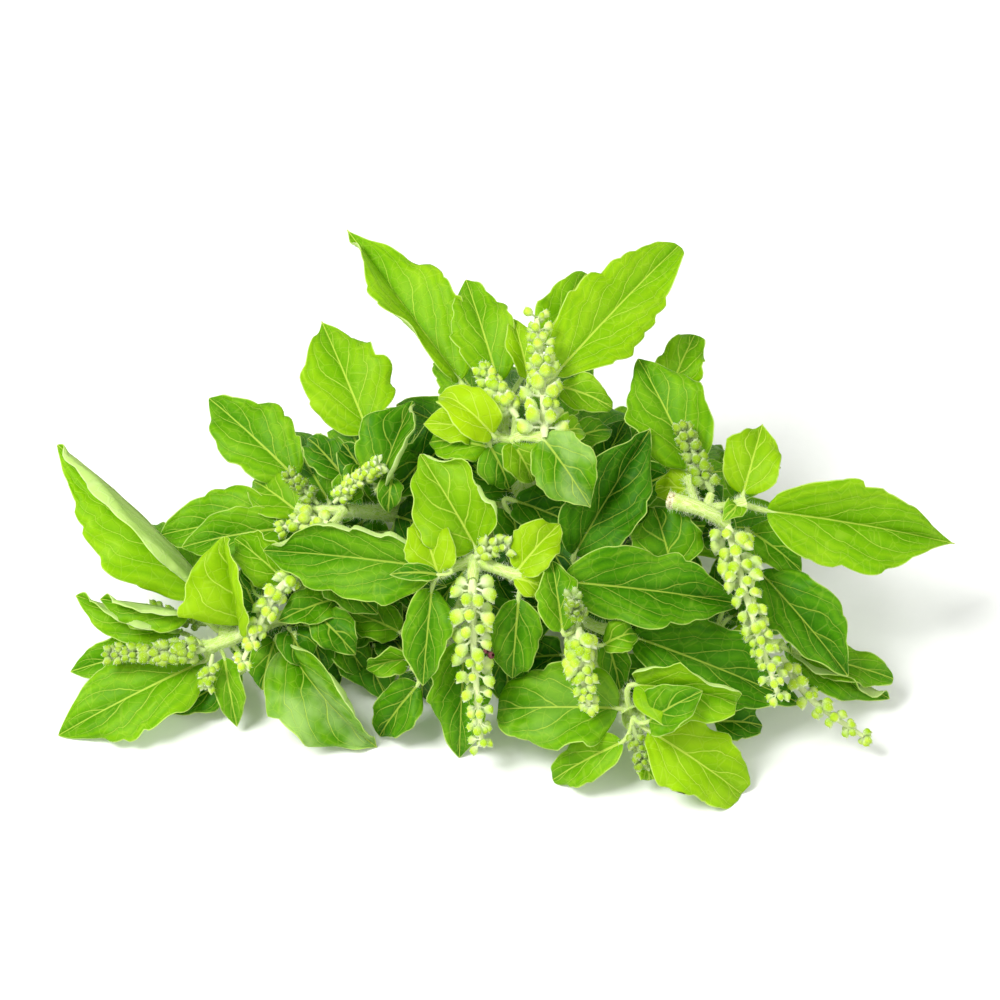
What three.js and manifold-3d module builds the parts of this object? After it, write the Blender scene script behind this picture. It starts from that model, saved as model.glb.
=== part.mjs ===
import * as THREE from "three";
import Module from "manifold-3d";

// A loose heap of flowering basil sprigs lying on a table, in millimetres, +Z up.
// Each leafy stem is one solid with its leaves, and each flower spike is a solid of its own.

// Places are written as [right, up, height]: where a point is seen from the front, 45 degrees
// above the table, and how high above the table it is.
const SIGHT_ELEVATION = THREE.MathUtils.degToRad(45);
const SIGHT_DISTANCE = 900;
const SIGHT_CENTRE_UP = 37.8;

// Middle of the heap on the table, which becomes the origin.
const HEAP_CENTRE = [1.1, 13.85];

// Leaf blades
const BLADE_THICKNESS = 0.7;
const BLADE_WIDEST_AT = 0.38;
const BLADE_FULLNESS = 0.72;
const BLADE_TIP_HALF_WIDTH = 0.45;
const NOTCH_DEPTH = 0.1;
const STATION_GAP = 6.6;
const FEWEST_STATIONS = 4;
const MOST_STATIONS = 9;
const FULL_FOLD_HALF_WIDTH = 4;
const EDGE_WAVES = 2.5;
const PETIOLE_HALF_WIDTH = 0.8;
const PETIOLE_THICKNESS = 1.5;
const PETIOLE_ROOT = 0.5;
const PETIOLE_BEND = 0.4;
const LONGEST_STRAIGHT_PETIOLE = 9;
const BLADE_BASE_THICKNESS = 1.2;
const LONGEST_MITER = 2;
const LEAVES_FACE = [0, -0.5, 0.87];

// Flower spikes
const WHORL_GAP = 4.5;
const FIRST_WHORL = 2.2;
const WHORL_HEIGHT = 1.6;
const CALYX_TILT = THREE.MathUtils.degToRad(32);
const CALYX_BELLY_AT = 0.62;
const CALYX_SLENDERNESS = 0.36;
const CALYX_WIDEST = 1.9;
const SHAFT_RADIUS = [1.3, 0.6];
const SPIKE_GAP = 0.5;
const FIRST_CORNER_FROM = [0.5, 0.6, 0.62];

// Stems
const STEM_SIDES = 5;
const STEM_STEP = 9;
const FIRST_SIDE_FROM = [0.31, 0.52, 0.79];

const wasm = await Module();
wasm.setup();

const LEAF_GREEN = new THREE.MeshStandardMaterial({ color: 0x6aa51c, roughness: 0.5, metalness: 0 });
const FLOWER_GREEN = new THREE.MeshStandardMaterial({ color: 0xcfe28a, roughness: 0.65, metalness: 0 });

// One leaf: where its blade starts and ends and how wide it is. arch lifts the midrib's middle,
// bow bends it sideways, left and right fold the halves up (degrees) and wave ripples its edges.
function leaf(base, tip, wide, shape = {}) {
  return { base, tip, wide, arch: 2.5, bow: 0, left: 14, right: 14, wave: 0.7, ...shape };
}

// One stem: its path and its radius at each end.
function stem(path, radius = [1.6, 1.2]) {
  return { path, radius };
}

// One flower spike: its path and how far its calyces reach from the middle at each end.
function spike(path, reach) {
  return { path, reach };
}

const SPRIGS = {
  crown: {
    stems: [
      stem([[8, 22, 3], [7, 40, 40], [4, 54, 69], [11.5, 54.5, 71]], [2.2, 1.4]),
      stem([[4, 53.5, 68], [-2, 54.5, 69]], [1.4, 1.1]),
      stem([[4, 54, 69], [4.2, 60.4, 74]], [1.1, 0.8]),
      stem([[2, 54, 68], [0.5, 62, 69.5]], [1.1, 0.9]),
    ],
    leaves: [
      leaf([-10.8, 69.8, 70], [-41.3, 110.8, 84], 27, { left: 60, right: 8, bow: -1 }),
      leaf([-0.5, 69.5, 72], [-9.2, 97.3, 81], 16.5, { left: 20, right: 12 }),
      leaf([7.6, 70.7, 74], [3.5, 86.7, 80], 10, { left: 40 }),
      leaf([11.3, 79.6, 66], [23.3, 99, 71], 12),
      leaf([14.9, 71.6, 74], [48.3, 106.5, 84], 22, { left: 22, right: 10 }),
      leaf([16.2, 68.4, 72], [30.3, 62.6, 68], 9.5, { right: 8 }),
      leaf([-1.9, 55.2, 72], [-16.6, 67, 78], 14, { arch: 5, left: 30 }),
      leaf([-5.9, 56.5, 68], [-20.6, 58.3, 70], 11, { right: 30 }),
      leaf([-3.2, 52.1, 68], [-19, 53.3, 62], 12),
      leaf([-2.7, 52.4, 69], [2.4, 41, 58], 13, { left: 6 }),
      leaf([3.2, 53.5, 70], [8.9, 42.7, 60], 11),
      leaf([11.6, 54.5, 72], [24.4, 35.8, 60], 17, { left: 20, right: 4 }),
      leaf([18.9, 54, 60], [30.2, 56.7, 58], 8),
      leaf([4, 58, 64], [8, 73.5, 46], 15),
      leaf([0, 57, 64], [-16, 77.8, 50], 16),
      leaf([9, 57, 64], [24, 75, 48], 15),
      leaf([4, 47, 44], [-28, 63.6, 30], 20),
      leaf([9, 47, 44], [38, 59.4, 26], 20),
      leaf([6, 52, 46], [0, 74, 30], 18),
    ],
    spikes: {
      tall: spike([[12, 56, 73.5], [11.5, 70, 80], [10, 86.5, 85]], [6.2, 3]),
      side: spike([[4, 61.2, 74.8], [0.4, 66, 77], [-4.6, 72.4, 79]], [3.6, 2.2]),
    },
  },

  front: {
    stems: [
      stem([[-7, 17, 3], [-7, 22, 26], [-7, 21.6, 50]], [2.1, 1.7]),
      stem([[-7, 21.6, 50], [-16.2, 18.4, 49]], [1.7, 1.1]),
      stem([[-7, 21.6, 50], [3, 18, 50], [9.5, 16.4, 49]], [1.7, 1]),
      stem([[-7, 21.6, 50], [-7.4, 16, 50.5]], [1.7, 1.2]),
      stem([[-6, 22, 40], [-13, 4, 27], [-24, -7, 22]], [1.5, 1.1]),
    ],
    leaves: [
      leaf([-6.4, 24.6, 53], [-21.6, 50.2, 70], 22.5, { left: 10, right: 22 }),
      leaf([-17, 19.3, 50], [-64, 24.2, 43], 23, { right: 40, left: 6 }),
      leaf([-16.7, 17.6, 51], [-22, 33.4, 59], 13),
      leaf([-18.4, 13.8, 46], [-20.8, -12.3, 26], 13.5, { left: 20, right: 20 }),
      leaf([4.6, 18.6, 51], [16.2, 31.3, 57], 13),
      leaf([4, 16.7, 50], [12.7, 13, 45], 8),
      leaf([5, 11, 43], [3.3, -10.3, 23], 14),
      leaf([-9.6, 0, 27], [-11, -31.8, 0], 17, { left: 30, right: 10 }),
      leaf([-22.1, -12, 17], [-32.5, -26, 0.8], 13),
      leaf([-24.3, -5, 22], [-36, -7.8, 18], 9, { right: 70 }),
    ],
    spikes: {
      long: spike([[-7.4, 15, 50.6], [-7, -4, 34], [-5, -27, 13]], [5.6, 3]),
      small: spike([[-5.6, 23, 53], [-2, 25, 55], [1.6, 25, 56]], [3.2, 2.2]),
    },
  },

  middle: {
    stems: [
      stem([[14, 15, 3], [18, 10, 22], [21, 3.6, 39.6]], [2, 1.3]),
      stem([[17, 12, 18], [24, 16, 34], [32, 24, 42]], [1.5, 1]),
      stem([[19, 8, 28], [30, 3, 30], [44, 14, 36]], [1.4, 1]),
    ],
    leaves: [
      leaf([17, 15.7, 46], [65, 9.7, 36], 22, { left: 24, right: 20 }),
      leaf([20, 23, 43], [39.5, 57.8, 60], 24, { left: 26, right: 18 }),
      leaf([24.8, 40.5, 44], [34, 59.5, 53], 14),
      leaf([16.8, 2.4, 42], [14, 21.4, 52], 12, { left: 24 }),
      leaf([28, -1.4, 34], [36.8, 1.5, 34], 9, { arch: 4 }),
      leaf([35.6, 1, 30], [81.3, -17.2, 11], 22, { left: 18, right: 16 }),
      leaf([46.4, 19, 40], [41.6, 35.8, 50], 21, { left: 10, right: 10 }),
      leaf([28.9, 0, 30], [32.4, -13.5, 18], 9),
      leaf([4, 37.5, 44], [24, 29, 40], 15),
      leaf([5, 24, 36], [3, 37, 40], 14),
    ],
    spikes: {
      front: spike([[21.4, 2, 40.6], [21.6, -7, 35.5], [24, -17.6, 26]], [4.4, 2.2]),
      dark: spike([[21, 4.8, 45], [19.8, 11, 53]], [2.8, 2]),
    },
  },

  right: {
    stems: [
      stem([[45.4, 37.8, 57], [52, 36.2, 57], [57.2, 34, 55], [61.4, 31, 51.5]], [2.1, 1.4]),
      stem([[55.5, 35, 55.5], [57, 39.5, 57.5]], [1.3, 0.9]),
      stem([[54, 35.4, 55.6], [66, 36.6, 54]], [1.3, 1]),
      stem([[53, 36, 56.5], [50, 47, 51]], [1.2, 0.9]),
      stem([[58.5, 33, 54], [61.5, 29.4, 46], [67, 27, 41]], [1.2, 1]),
    ],
    leaves: [
      leaf([52, 46.5, 56], [37.3, 76, 70], 22, { left: 14, right: 12 }),
      leaf([45.4, 66.5, 55], [52.6, 82.4, 62], 13.5),
      leaf([65.6, 39.4, 53], [70.9, 58.3, 61], 15.5),
      leaf([74, 34.7, 50], [122.8, 26, 36], 27, { left: 12, right: 8 }),
      leaf([70, 18.4, 36], [94, -9.8, 20], 20, { left: 10, right: 34 }),
      leaf([51.8, 40.4, 50], [41.9, 40.5, 47], 10),
      leaf([67, 29.6, 42], [81.4, 18.4, 35], 13),
      leaf([64.3, 36, 53], [60, 31.9, 54], 6),
      leaf([64, 38, 50], [70, 53.7, 36], 15),
    ],
    spikes: {
      long: spike([[61.9, 29.8, 51.6], [67, 10, 42.5], [74.8, -14, 25]], [5.4, 2.6]),
      buds: spike([[56.8, 41, 58.5], [53.5, 48, 62], [49.4, 57, 66.5]], [3.8, 2]),
    },
  },

  edge: {
    stems: [
      stem([[34, 8, 4], [56, 2, 12], [76, -1.6, 20]], [1.7, 1.2]),
    ],
    leaves: [
      leaf([81, -4, 20], [106.2, -10.5, 9], 11),
      leaf([77, -1.6, 20], [105.2, -15.9, 4], 15, { left: 120, right: 8 }),
      leaf([69, 0, 22], [62.9, 2.7, 24], 8),
      leaf([62, 6, 14], [78, 12, 5], 12),
    ],
    spikes: {
      stray: spike([[76.6, -5.6, 24.6], [84, -16, 16.5], [98, -26, 8]], [3.6, 2.4]),
    },
  },

  low: {
    stems: [
      stem([[17, 10, 1.2], [22, 3, 1.3], [29, -9, 13], [36, -21, 19]], [1.9, 1.4]),
    ],
    leaves: [
      leaf([32, -18.5, 20], [-0.6, -18.8, 14], 24.5, { left: 10, right: 10 }),
      leaf([33, -27.6, 15], [14.3, -37.8, 0], 12.5),
      leaf([40, -24.4, 18], [65.2, -41.6, 0], 21, { left: 14, right: 12 }),
      leaf([40, -22, 20], [54.7, -13.8, 26], 12),
      leaf([36.4, -12.5, 27], [62.5, -21.5, 23], 20, { bow: -3.5, left: 20 }),
      leaf([58, -22, 8], [70.8, -23.2, 4], 11),
      leaf([39.2, -32.4, 8], [40.2, -37.8, 3], 6),
    ],
    spikes: {
      small: spike([[36.3, -24.4, 18.5], [38.4, -33, 12]], [2.6, 1.8]),
    },
  },

  shoulder: {
    stems: [
      stem([[-14, 24, 3], [-26, 33, 26], [-42, 35, 47]], [2, 1.5]),
      stem([[-26, 36, 28], [-32, 42, 46], [-35, 50, 51]], [1.4, 1]),
      stem([[-42, 35, 47], [-54, 35, 42]], [1.3, 1]),
      stem([[-42, 35, 47], [-45.6, 31, 47.6]], [1.3, 1]),
    ],
    leaves: [
      leaf([-55, 43.6, 44], [-78.6, 65.3, 50], 19, { left: 10, right: 10 }),
      leaf([-60, 33, 38], [-91.8, 28.3, 30], 20),
      leaf([-57.8, 30.2, 39], [-86, 25, 33], 15),
      leaf([-54, 34, 42], [-66.7, 42.9, 40], 13),
      leaf([-36.5, 57, 52], [-47.7, 86.1, 60], 24, { left: 12, right: 10 }),
      leaf([-32.4, 42, 54], [-23.6, 64.5, 66], 20, { right: 100, left: 6 }),
      leaf([-41.9, 43.7, 48], [-51.8, 54.4, 48], 11),
      leaf([-36, 43.2, 50], [-42.5, 53, 54], 10),
      leaf([-41.9, 37.8, 47], [-37.3, 47.8, 53], 9),
      leaf([-29.2, 43.7, 56], [-30.2, 34.3, 50], 7),
      leaf([-46, 37, 42], [-58, 56, 30], 15),
    ],
    spikes: {
      upper: spike([[-44, 38, 49.6], [-39, 43, 55.5], [-33, 47.4, 62]], [2.6, 2]),
      side: spike([[-46.4, 31, 46.6], [-52, 32.6, 45], [-59, 30, 42]], [4, 2.6]),
      back: spike([[-50, 37.6, 46], [-56.2, 44, 50]], [2.8, 2]),
    },
  },

  left: {
    stems: [
      stem([[-12, 13, 1.2], [-23, 12, 1.3], [-38, 11, 14], [-54, 7.6, 22], [-79.7, -2.4, 18.5]], [2, 1.4]),
      stem([[-70, 1.5, 20], [-76, 2.4, 21]], [1.1, 0.9]),
    ],
    leaves: [
      leaf([-78, 13, 25], [-119.6, 52.7, 50], 31, { left: 4, right: 104, bow: 1.5 }),
      leaf([-70, 4, 25], [-74.5, 28, 45], 29, { left: 4, right: 80 }),
      leaf([-86, 2, 17], [-113.6, 11.8, 24], 17, { arch: 1.5, right: 108, left: 4 }),
      leaf([-86, 4, 24], [-107, 10, 24], 12, { right: 100, left: 4 }),
      leaf([-92, -3, 11], [-116, -8.6, 6], 13),
      leaf([-79.5, -5.6, 15], [-119.3, -25.8, 0], 24, { left: 12, right: -4 }),
      leaf([-74.4, -5, 16], [-71, -23.4, 3], 9, { left: 30 }),
      leaf([-70, -9, 9], [-88, -20, 0.6], 12),
      leaf([-80, 14, 20], [-100, 31, 12], 16),
    ],
    spikes: {
      thick: spike([[-81, -2.8, 21.4], [-92, -3.4, 21.4], [-105, -4, 19.6]], [3.6, 2.6]),
      drooping: spike([[-77.8, -5.2, 20], [-79, -11.6, 15.5]], [2.6, 2]),
      dark: spike([[-80.6, 4.4, 20], [-94, 8.4, 19]], [2.4, 1.8]),
    },
  },

  lower: {
    stems: [
      stem([[-10, 24, 5], [-34, 20, 24], [-54, 15.6, 37]], [1.9, 1.3]),
      stem([[-32, 20, 23], [-44, 9, 25], [-56, 0.5, 24]], [1.5, 1.1]),
    ],
    leaves: [
      leaf([-58, 16, 36], [-71.6, 27.4, 40], 14, { right: 40 }),
      leaf([-56.7, -2.2, 22], [-36, -29, 0], 24, { left: 8, right: 8 }),
      leaf([-60.8, 0, 20], [-64.3, -13.5, 10], 11),
      leaf([-52.7, 6.6, 25], [-47.3, -9.5, 9], 10),
      leaf([-46, 4, 20], [-35.6, -9.7, 8], 12),
      leaf([-27, 2, 22], [-42, 8, 24], 12),
      leaf([-30, 14, 22], [-48, -4, 12], 16),
    ],
    spikes: {
      pale: spike([[-55.4, 17, 39], [-61, 12, 37.4], [-69.4, -5.4, 27]], [4.2, 2.6]),
    },
  },

  back: {
    stems: [
      stem([[-2, 20, 1.3], [-1, 27, 1.5], [0, 36, 18], [2, 52, 30]], [2, 1.5]),
      stem([[0, 34.5, 15], [30, 39, 22]], [1.5, 1.1]),
      stem([[-0.4, 32.6, 11], [-28, 33, 11]], [1.5, 1.1]),
    ],
    leaves: [
      leaf([-10, 46, 22], [-36, 61, 0], 22),
      leaf([-30, 36.5, 13], [-70, 49, 0], 20),
      leaf([5, 47, 26], [12, 60.8, 6], 14),
      leaf([20, 45, 24], [46, 62, 4], 18),
      leaf([30, 41, 20], [68, 46, 0], 17),
      leaf([34, 31, 14], [90, 28.7, 1.5], 20),
      leaf([-30, 29, 10], [-90, 26.5, 1.5], 20),
    ],
    spikes: {
      hidden: spike([[1, 53.8, 31.6], [-10, 64, 30]], [4, 2.4]),
    },
  },
};

// The point that is seen at `right` and `up`, at `height` above the table.
function seen([right, up, height]) {
  const sin = Math.sin(SIGHT_ELEVATION);
  const cos = Math.cos(SIGHT_ELEVATION);
  const slope = ((up - SIGHT_CENTRE_UP) * cos) / SIGHT_DISTANCE;
  const nearness = (height - up * cos) / (sin - slope);
  const scale = 1 - nearness / SIGHT_DISTANCE;
  const raised = SIGHT_CENTRE_UP + scale * (up - SIGHT_CENTRE_UP);
  const x = scale * right - HEAP_CENTRE[0];
  const y = raised * sin - nearness * cos - HEAP_CENTRE[1];
  return new THREE.Vector3(x, y, height);
}

// Points a few millimetres apart on a smooth line through the given places.
function smoothLine(places, step) {
  const knots = places.map(seen);
  const line = [];
  for (let i = 0; i + 1 < knots.length; i += 1) {
    const [a, b] = [knots[i], knots[i + 1]];
    const before = i > 0 ? knots[i - 1] : a;
    const after = i + 2 < knots.length ? knots[i + 2] : b;
    const count = Math.max(1, Math.round(a.distanceTo(b) / step));
    const out = b.clone().sub(before).multiplyScalar(0.5);
    const into = after.clone().sub(a).multiplyScalar(0.5);
    for (let k = 0; k < count; k += 1) {
      line.push(hermite(a, out, b, into, k / count));
    }
  }
  line.push(knots[knots.length - 1]);
  return line;
}

function hermite(a, out, b, into, t) {
  const point = a.clone().multiplyScalar(2 * t ** 3 - 3 * t ** 2 + 1);
  point.addScaledVector(out, t ** 3 - 2 * t ** 2 + t);
  point.addScaledVector(b, 3 * t ** 2 - 2 * t ** 3);
  return point.addScaledVector(into, t ** 3 - t ** 2);
}

function directionAt(line, i) {
  const next = line[Math.min(i + 1, line.length - 1)];
  return next.clone().sub(line[Math.max(i - 1, 0)]).normalize();
}

function asSolid(points, triangles) {
  const vertProperties = new Float32Array(points.flatMap((point) => point.toArray()));
  const triVerts = new Uint32Array(triangles.flat());
  return new wasm.Manifold(new wasm.Mesh({ numProp: 3, vertProperties, triVerts }));
}

// A round rod along a line, closed at both ends; radiusAt gives its radius from 0 to 1.
function rod(line, radiusAt, sides) {
  const points = [];
  const triangles = [];
  const side = new THREE.Vector3(...FIRST_SIDE_FROM).cross(directionAt(line, 0)).normalize();
  line.forEach((centre, i) => {
    const along = directionAt(line, i);
    side.addScaledVector(along, -side.dot(along)).normalize();
    const other = along.clone().cross(side);
    const radius = radiusAt(i / (line.length - 1));
    for (let k = 0; k < sides; k += 1) {
      const angle = (2 * Math.PI * k) / sides;
      const point = centre.clone().addScaledVector(side, radius * Math.cos(angle));
      points.push(point.addScaledVector(other, radius * Math.sin(angle)));
    }
  });
  for (let i = 0; i + 1 < line.length; i += 1) {
    for (let k = 0; k < sides; k += 1) {
      const [a, b] = [i * sides + k, i * sides + ((k + 1) % sides)];
      triangles.push([a, b, b + sides], [a, b + sides, a + sides]);
    }
  }
  const last = (line.length - 1) * sides;
  for (let k = 1; k + 1 < sides; k += 1) {
    triangles.push([0, k + 1, k], [last, last + k, last + k + 1]);
  }
  return asSolid(points, triangles);
}

function mix(from, to, t) {
  return from + (to - from) * t;
}

function nearestPoint(points, place) {
  return points.reduce((best, point) => (point.distanceTo(place) < best.distanceTo(place) ? point : best));
}

// Half the blade's width at s, from 0 at its base to 1 at its tip.
function halfWidth(shape, s) {
  const power = Math.log(0.5) / Math.log(BLADE_WIDEST_AT);
  return (shape.wide / 2) * Math.sin(Math.PI * s ** power) ** BLADE_FULLNESS;
}

// The blade's own directions: along its chord, out of its upper face and to its right.
function bladeAxes(base, tip) {
  const along = tip.clone().sub(base).normalize();
  const face = new THREE.Vector3(...LEAVES_FACE);
  face.addScaledVector(along, -face.dot(along)).normalize();
  return { along, face, side: along.clone().cross(face) };
}

// The stations of a leaf from the stem to its tip: a centre, half a width, a thickness and axes.
function leafStations(shape, stemPoints) {
  const base = seen(shape.base);
  const tip = seen(shape.tip);
  const { along, face, side } = bladeAxes(base, tip);
  const length = base.distanceTo(tip);
  const root = nearestPoint(stemPoints, base);
  const bend = base.clone().addScaledVector(along, -PETIOLE_BEND * root.distanceTo(base));
  const bends = root.distanceTo(base) > LONGEST_STRAIGHT_PETIOLE ? [0, 0.5] : [0];
  const stations = bends.map((t) => {
    const centre = root.clone().multiplyScalar((1 - t) ** 2);
    centre.addScaledVector(bend, 2 * t * (1 - t)).addScaledVector(base, t ** 2);
    const slim = t === 0 ? PETIOLE_ROOT : 1;
    return { centre, s: 0, half: PETIOLE_HALF_WIDTH * slim, thickness: PETIOLE_THICKNESS * slim };
  });
  const count = THREE.MathUtils.clamp(Math.round(length / STATION_GAP) + 1, FEWEST_STATIONS, MOST_STATIONS);
  for (let i = 0; i < count; i += 1) {
    const s = i / (count - 1);
    const hump = 4 * s * (1 - s);
    const centre = base.clone().lerp(tip, s);
    centre.addScaledVector(face, shape.arch * hump).addScaledVector(side, shape.bow * hump);
    const notch = i % 2 === 1 ? 0 : NOTCH_DEPTH;
    const least = i === 0 ? PETIOLE_HALF_WIDTH : BLADE_TIP_HALF_WIDTH;
    const half = Math.max(least, halfWidth(shape, s) * (1 - notch));
    const thickness = i === 0 ? BLADE_BASE_THICKNESS : BLADE_THICKNESS;
    stations.push({ centre, s, half, thickness });
  }
  const centres = stations.map((station) => station.centre);
  stations.forEach((station, i) => {
    const forward = directionAt(centres, i);
    station.side = side.clone().addScaledVector(forward, -side.dot(forward)).normalize();
    station.face = station.side.clone().cross(forward);
  });
  return stations;
}

// The six corners of a leaf's section: left, rib and right on its face, then on its underside.
function leafSection(shape, station) {
  const { centre, side, face, half, thickness, s } = station;
  const share = Math.min(1, half / FULL_FOLD_HALF_WIDTH);
  const ripple = shape.wave * share * Math.sin(2 * Math.PI * EDGE_WAVES * s);
  const angles = [shape.left, shape.right].map((angle) => THREE.MathUtils.degToRad(angle) * share);
  const edges = angles.map((angle, i) => {
    const way = i === 0 ? -1 : 1;
    const normal = face.clone().multiplyScalar(Math.cos(angle)).addScaledVector(side, -way * Math.sin(angle));
    const point = centre.clone().addScaledVector(side, way * half * Math.cos(angle));
    point.addScaledVector(face, half * Math.sin(angle)).addScaledVector(normal, ripple * way);
    return { point, normal };
  });
  const middle = edges[0].normal.clone().add(edges[1].normal).normalize();
  const miter = 1 / Math.max(1 / LONGEST_MITER, middle.dot(edges[0].normal));
  const rib = { point: centre, normal: middle.multiplyScalar(miter) };
  const upper = [edges[0], rib, edges[1]];
  const raise = ({ point, normal }, way) => point.clone().addScaledVector(normal, (way * thickness) / 2);
  const lower = [edges[1], rib, edges[0]];
  return [...upper.map((corner) => raise(corner, 1)), ...lower.map((corner) => raise(corner, -1))];
}

// A leaf with its petiole, one closed body whose two faces are split alike.
function leafBody(shape, stemPoints) {
  const stations = leafStations(shape, stemPoints);
  const points = stations.flatMap((station) => leafSection(shape, station));
  const triangles = [];
  const leaning = [false, true, false, false, true, false];
  for (let i = 0; i + 1 < stations.length; i += 1) {
    for (let k = 0; k < 6; k += 1) {
      const [a, b] = [i * 6 + k, i * 6 + ((k + 1) % 6)];
      if (leaning[k]) {
        triangles.push([a, b, b + 6], [a, b + 6, a + 6]);
      } else {
        triangles.push([a, b, a + 6], [b, b + 6, a + 6]);
      }
    }
  }
  const last = (stations.length - 1) * 6;
  triangles.push([0, 5, 4], [0, 4, 1], [1, 4, 3], [1, 3, 2]);
  triangles.push([last, last + 1, last + 4], [last, last + 4, last + 5]);
  triangles.push([last + 1, last + 2, last + 3], [last + 1, last + 3, last + 4]);
  return asSolid(points, triangles);
}

// A square ring round a point of a spike's shaft, turned by an angle.
function squareRing(centre, along, first, turned, radius) {
  return [0, 1, 2, 3].map((k) => {
    const way = first.clone().applyAxisAngle(along, turned + (k * Math.PI) / 2);
    return centre.clone().addScaledVector(way, radius);
  });
}

// A flower spike: a square shaft with a whorl of four pointed calyces on its sides at each step,
// each whorl turned by an eighth of a circle from the last.
function spikeBody({ path, reach }) {
  const line = smoothLine(path, 1);
  const total = line.length - 1;
  const first = new THREE.Vector3(...FIRST_CORNER_FROM).cross(directionAt(line, 0)).normalize();
  const points = [];
  const triangles = [];
  const add = (list) => points.push(...list) - list.length;
  const start = line[0].clone().addScaledVector(directionAt(line, 0), SPIKE_GAP);
  let below = add(squareRing(start, directionAt(line, 0), first, 0, SHAFT_RADIUS[1]));
  triangles.push([below, below + 3, below + 2], [below, below + 2, below + 1]);
  const wall = (a, b) => {
    for (let k = 0; k < 4; k += 1) {
      const next = (k + 1) % 4;
      triangles.push([a + k, a + next, b + next], [a + k, b + next, b + k]);
    }
  };
  let turned = 0;
  for (let at = FIRST_WHORL; at + WHORL_HEIGHT < total; at += WHORL_GAP) {
    const centre = line[Math.round(at)];
    const along = directionAt(line, Math.round(at));
    first.addScaledVector(along, -first.dot(along)).normalize();
    const part = at / total;
    const shaft = mix(SHAFT_RADIUS[0], SHAFT_RADIUS[1], part);
    const low = add(squareRing(centre, along, first, turned, shaft));
    const top = centre.clone().addScaledVector(along, WHORL_HEIGHT);
    const high = add(squareRing(top, along, first, turned, shaft));
    wall(below, low);
    for (let k = 0; k < 4; k += 1) {
      const out = first.clone().applyAxisAngle(along, turned + Math.PI / 4 + (k * Math.PI) / 2);
      calyx(points, triangles, { centre, along, out, reach: mix(reach[0], reach[1], part) }, [
        low + k,
        low + ((k + 1) % 4),
        high + ((k + 1) % 4),
        high + k,
      ]);
    }
    below = high;
    turned += Math.PI / 4;
  }
  const tip = add([line[total]]);
  for (let k = 0; k < 4; k += 1) {
    triangles.push([below + k, below + ((k + 1) % 4), tip]);
  }
  return asSolid(points, triangles);
}

// One calyx: a bud that grows from the four corners of its seat, swells and ends in a point.
function calyx(points, triangles, { centre, along, out, reach }, seat) {
  const way = out.clone().multiplyScalar(Math.cos(CALYX_TILT)).addScaledVector(along, Math.sin(CALYX_TILT));
  const across = along.clone().cross(out);
  const rise = way.clone().cross(across);
  const length = reach / Math.cos(CALYX_TILT);
  const radius = Math.min(CALYX_WIDEST, length * CALYX_SLENDERNESS);
  const belly = centre.clone().addScaledVector(along, WHORL_HEIGHT / 2);
  belly.addScaledVector(way, length * CALYX_BELLY_AT);
  const first = points.length;
  [[-1, -1], [1, -1], [1, 1], [-1, 1]].forEach(([wide, high]) => {
    const corner = belly.clone().addScaledVector(across, wide * radius * Math.SQRT1_2);
    points.push(corner.addScaledVector(rise, high * radius * Math.SQRT1_2));
  });
  points.push(centre.clone().addScaledVector(along, WHORL_HEIGHT / 2).addScaledVector(way, length));
  for (let k = 0; k < 4; k += 1) {
    const next = (k + 1) % 4;
    triangles.push([seat[k], seat[next], first + next], [seat[k], first + next, first + k]);
    triangles.push([first + k, first + next, first + 4]);
  }
}

function stemBodies(sprig) {
  return sprig.stems.map(({ path, radius }) => {
    return rod(smoothLine(path, STEM_STEP), (t) => mix(radius[0], radius[1], t), STEM_SIDES);
  });
}

function leafBodies(sprig) {
  const stemPoints = sprig.stems.flatMap(({ path }) => smoothLine(path, 1));
  return sprig.leaves.map((shape) => leafBody(shape, stemPoints));
}

// The bodies of one sprig fused, cut off flat where it rests on the table, without loose scraps.
function fused(bodies) {
  const pieces = wasm.Manifold.union(bodies).trimByPlane([0, 0, 1], 0).decompose();
  return pieces.reduce((best, piece) => (piece.volume() > best.volume() ? piece : best));
}

function asMesh(name, solid, material) {
  const { vertProperties, triVerts } = solid.getMesh();
  const geometry = new THREE.BufferGeometry();
  geometry.setAttribute("position", new THREE.BufferAttribute(vertProperties, 3));
  geometry.setIndex(new THREE.BufferAttribute(triVerts, 1));
  const mesh = new THREE.Mesh(geometry, material);
  mesh.name = name;
  return mesh;
}

const bunch = new THREE.Group();
for (const [name, sprig] of Object.entries(SPRIGS)) {
  const leafy = fused([...stemBodies(sprig), ...leafBodies(sprig)]);
  bunch.add(asMesh(`${name}_leafy_stem`, leafy, LEAF_GREEN));
  for (const [place, shape] of Object.entries(sprig.spikes)) {
    bunch.add(asMesh(`${name}_${place}_flower_spike`, fused([spikeBody(shape)]), FLOWER_GREEN));
  }
}

export default bunch;
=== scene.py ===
"""A loose heap of flowering basil sprigs: fine leaves, hairy stems and flower spikes in its frame."""

import math

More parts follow.
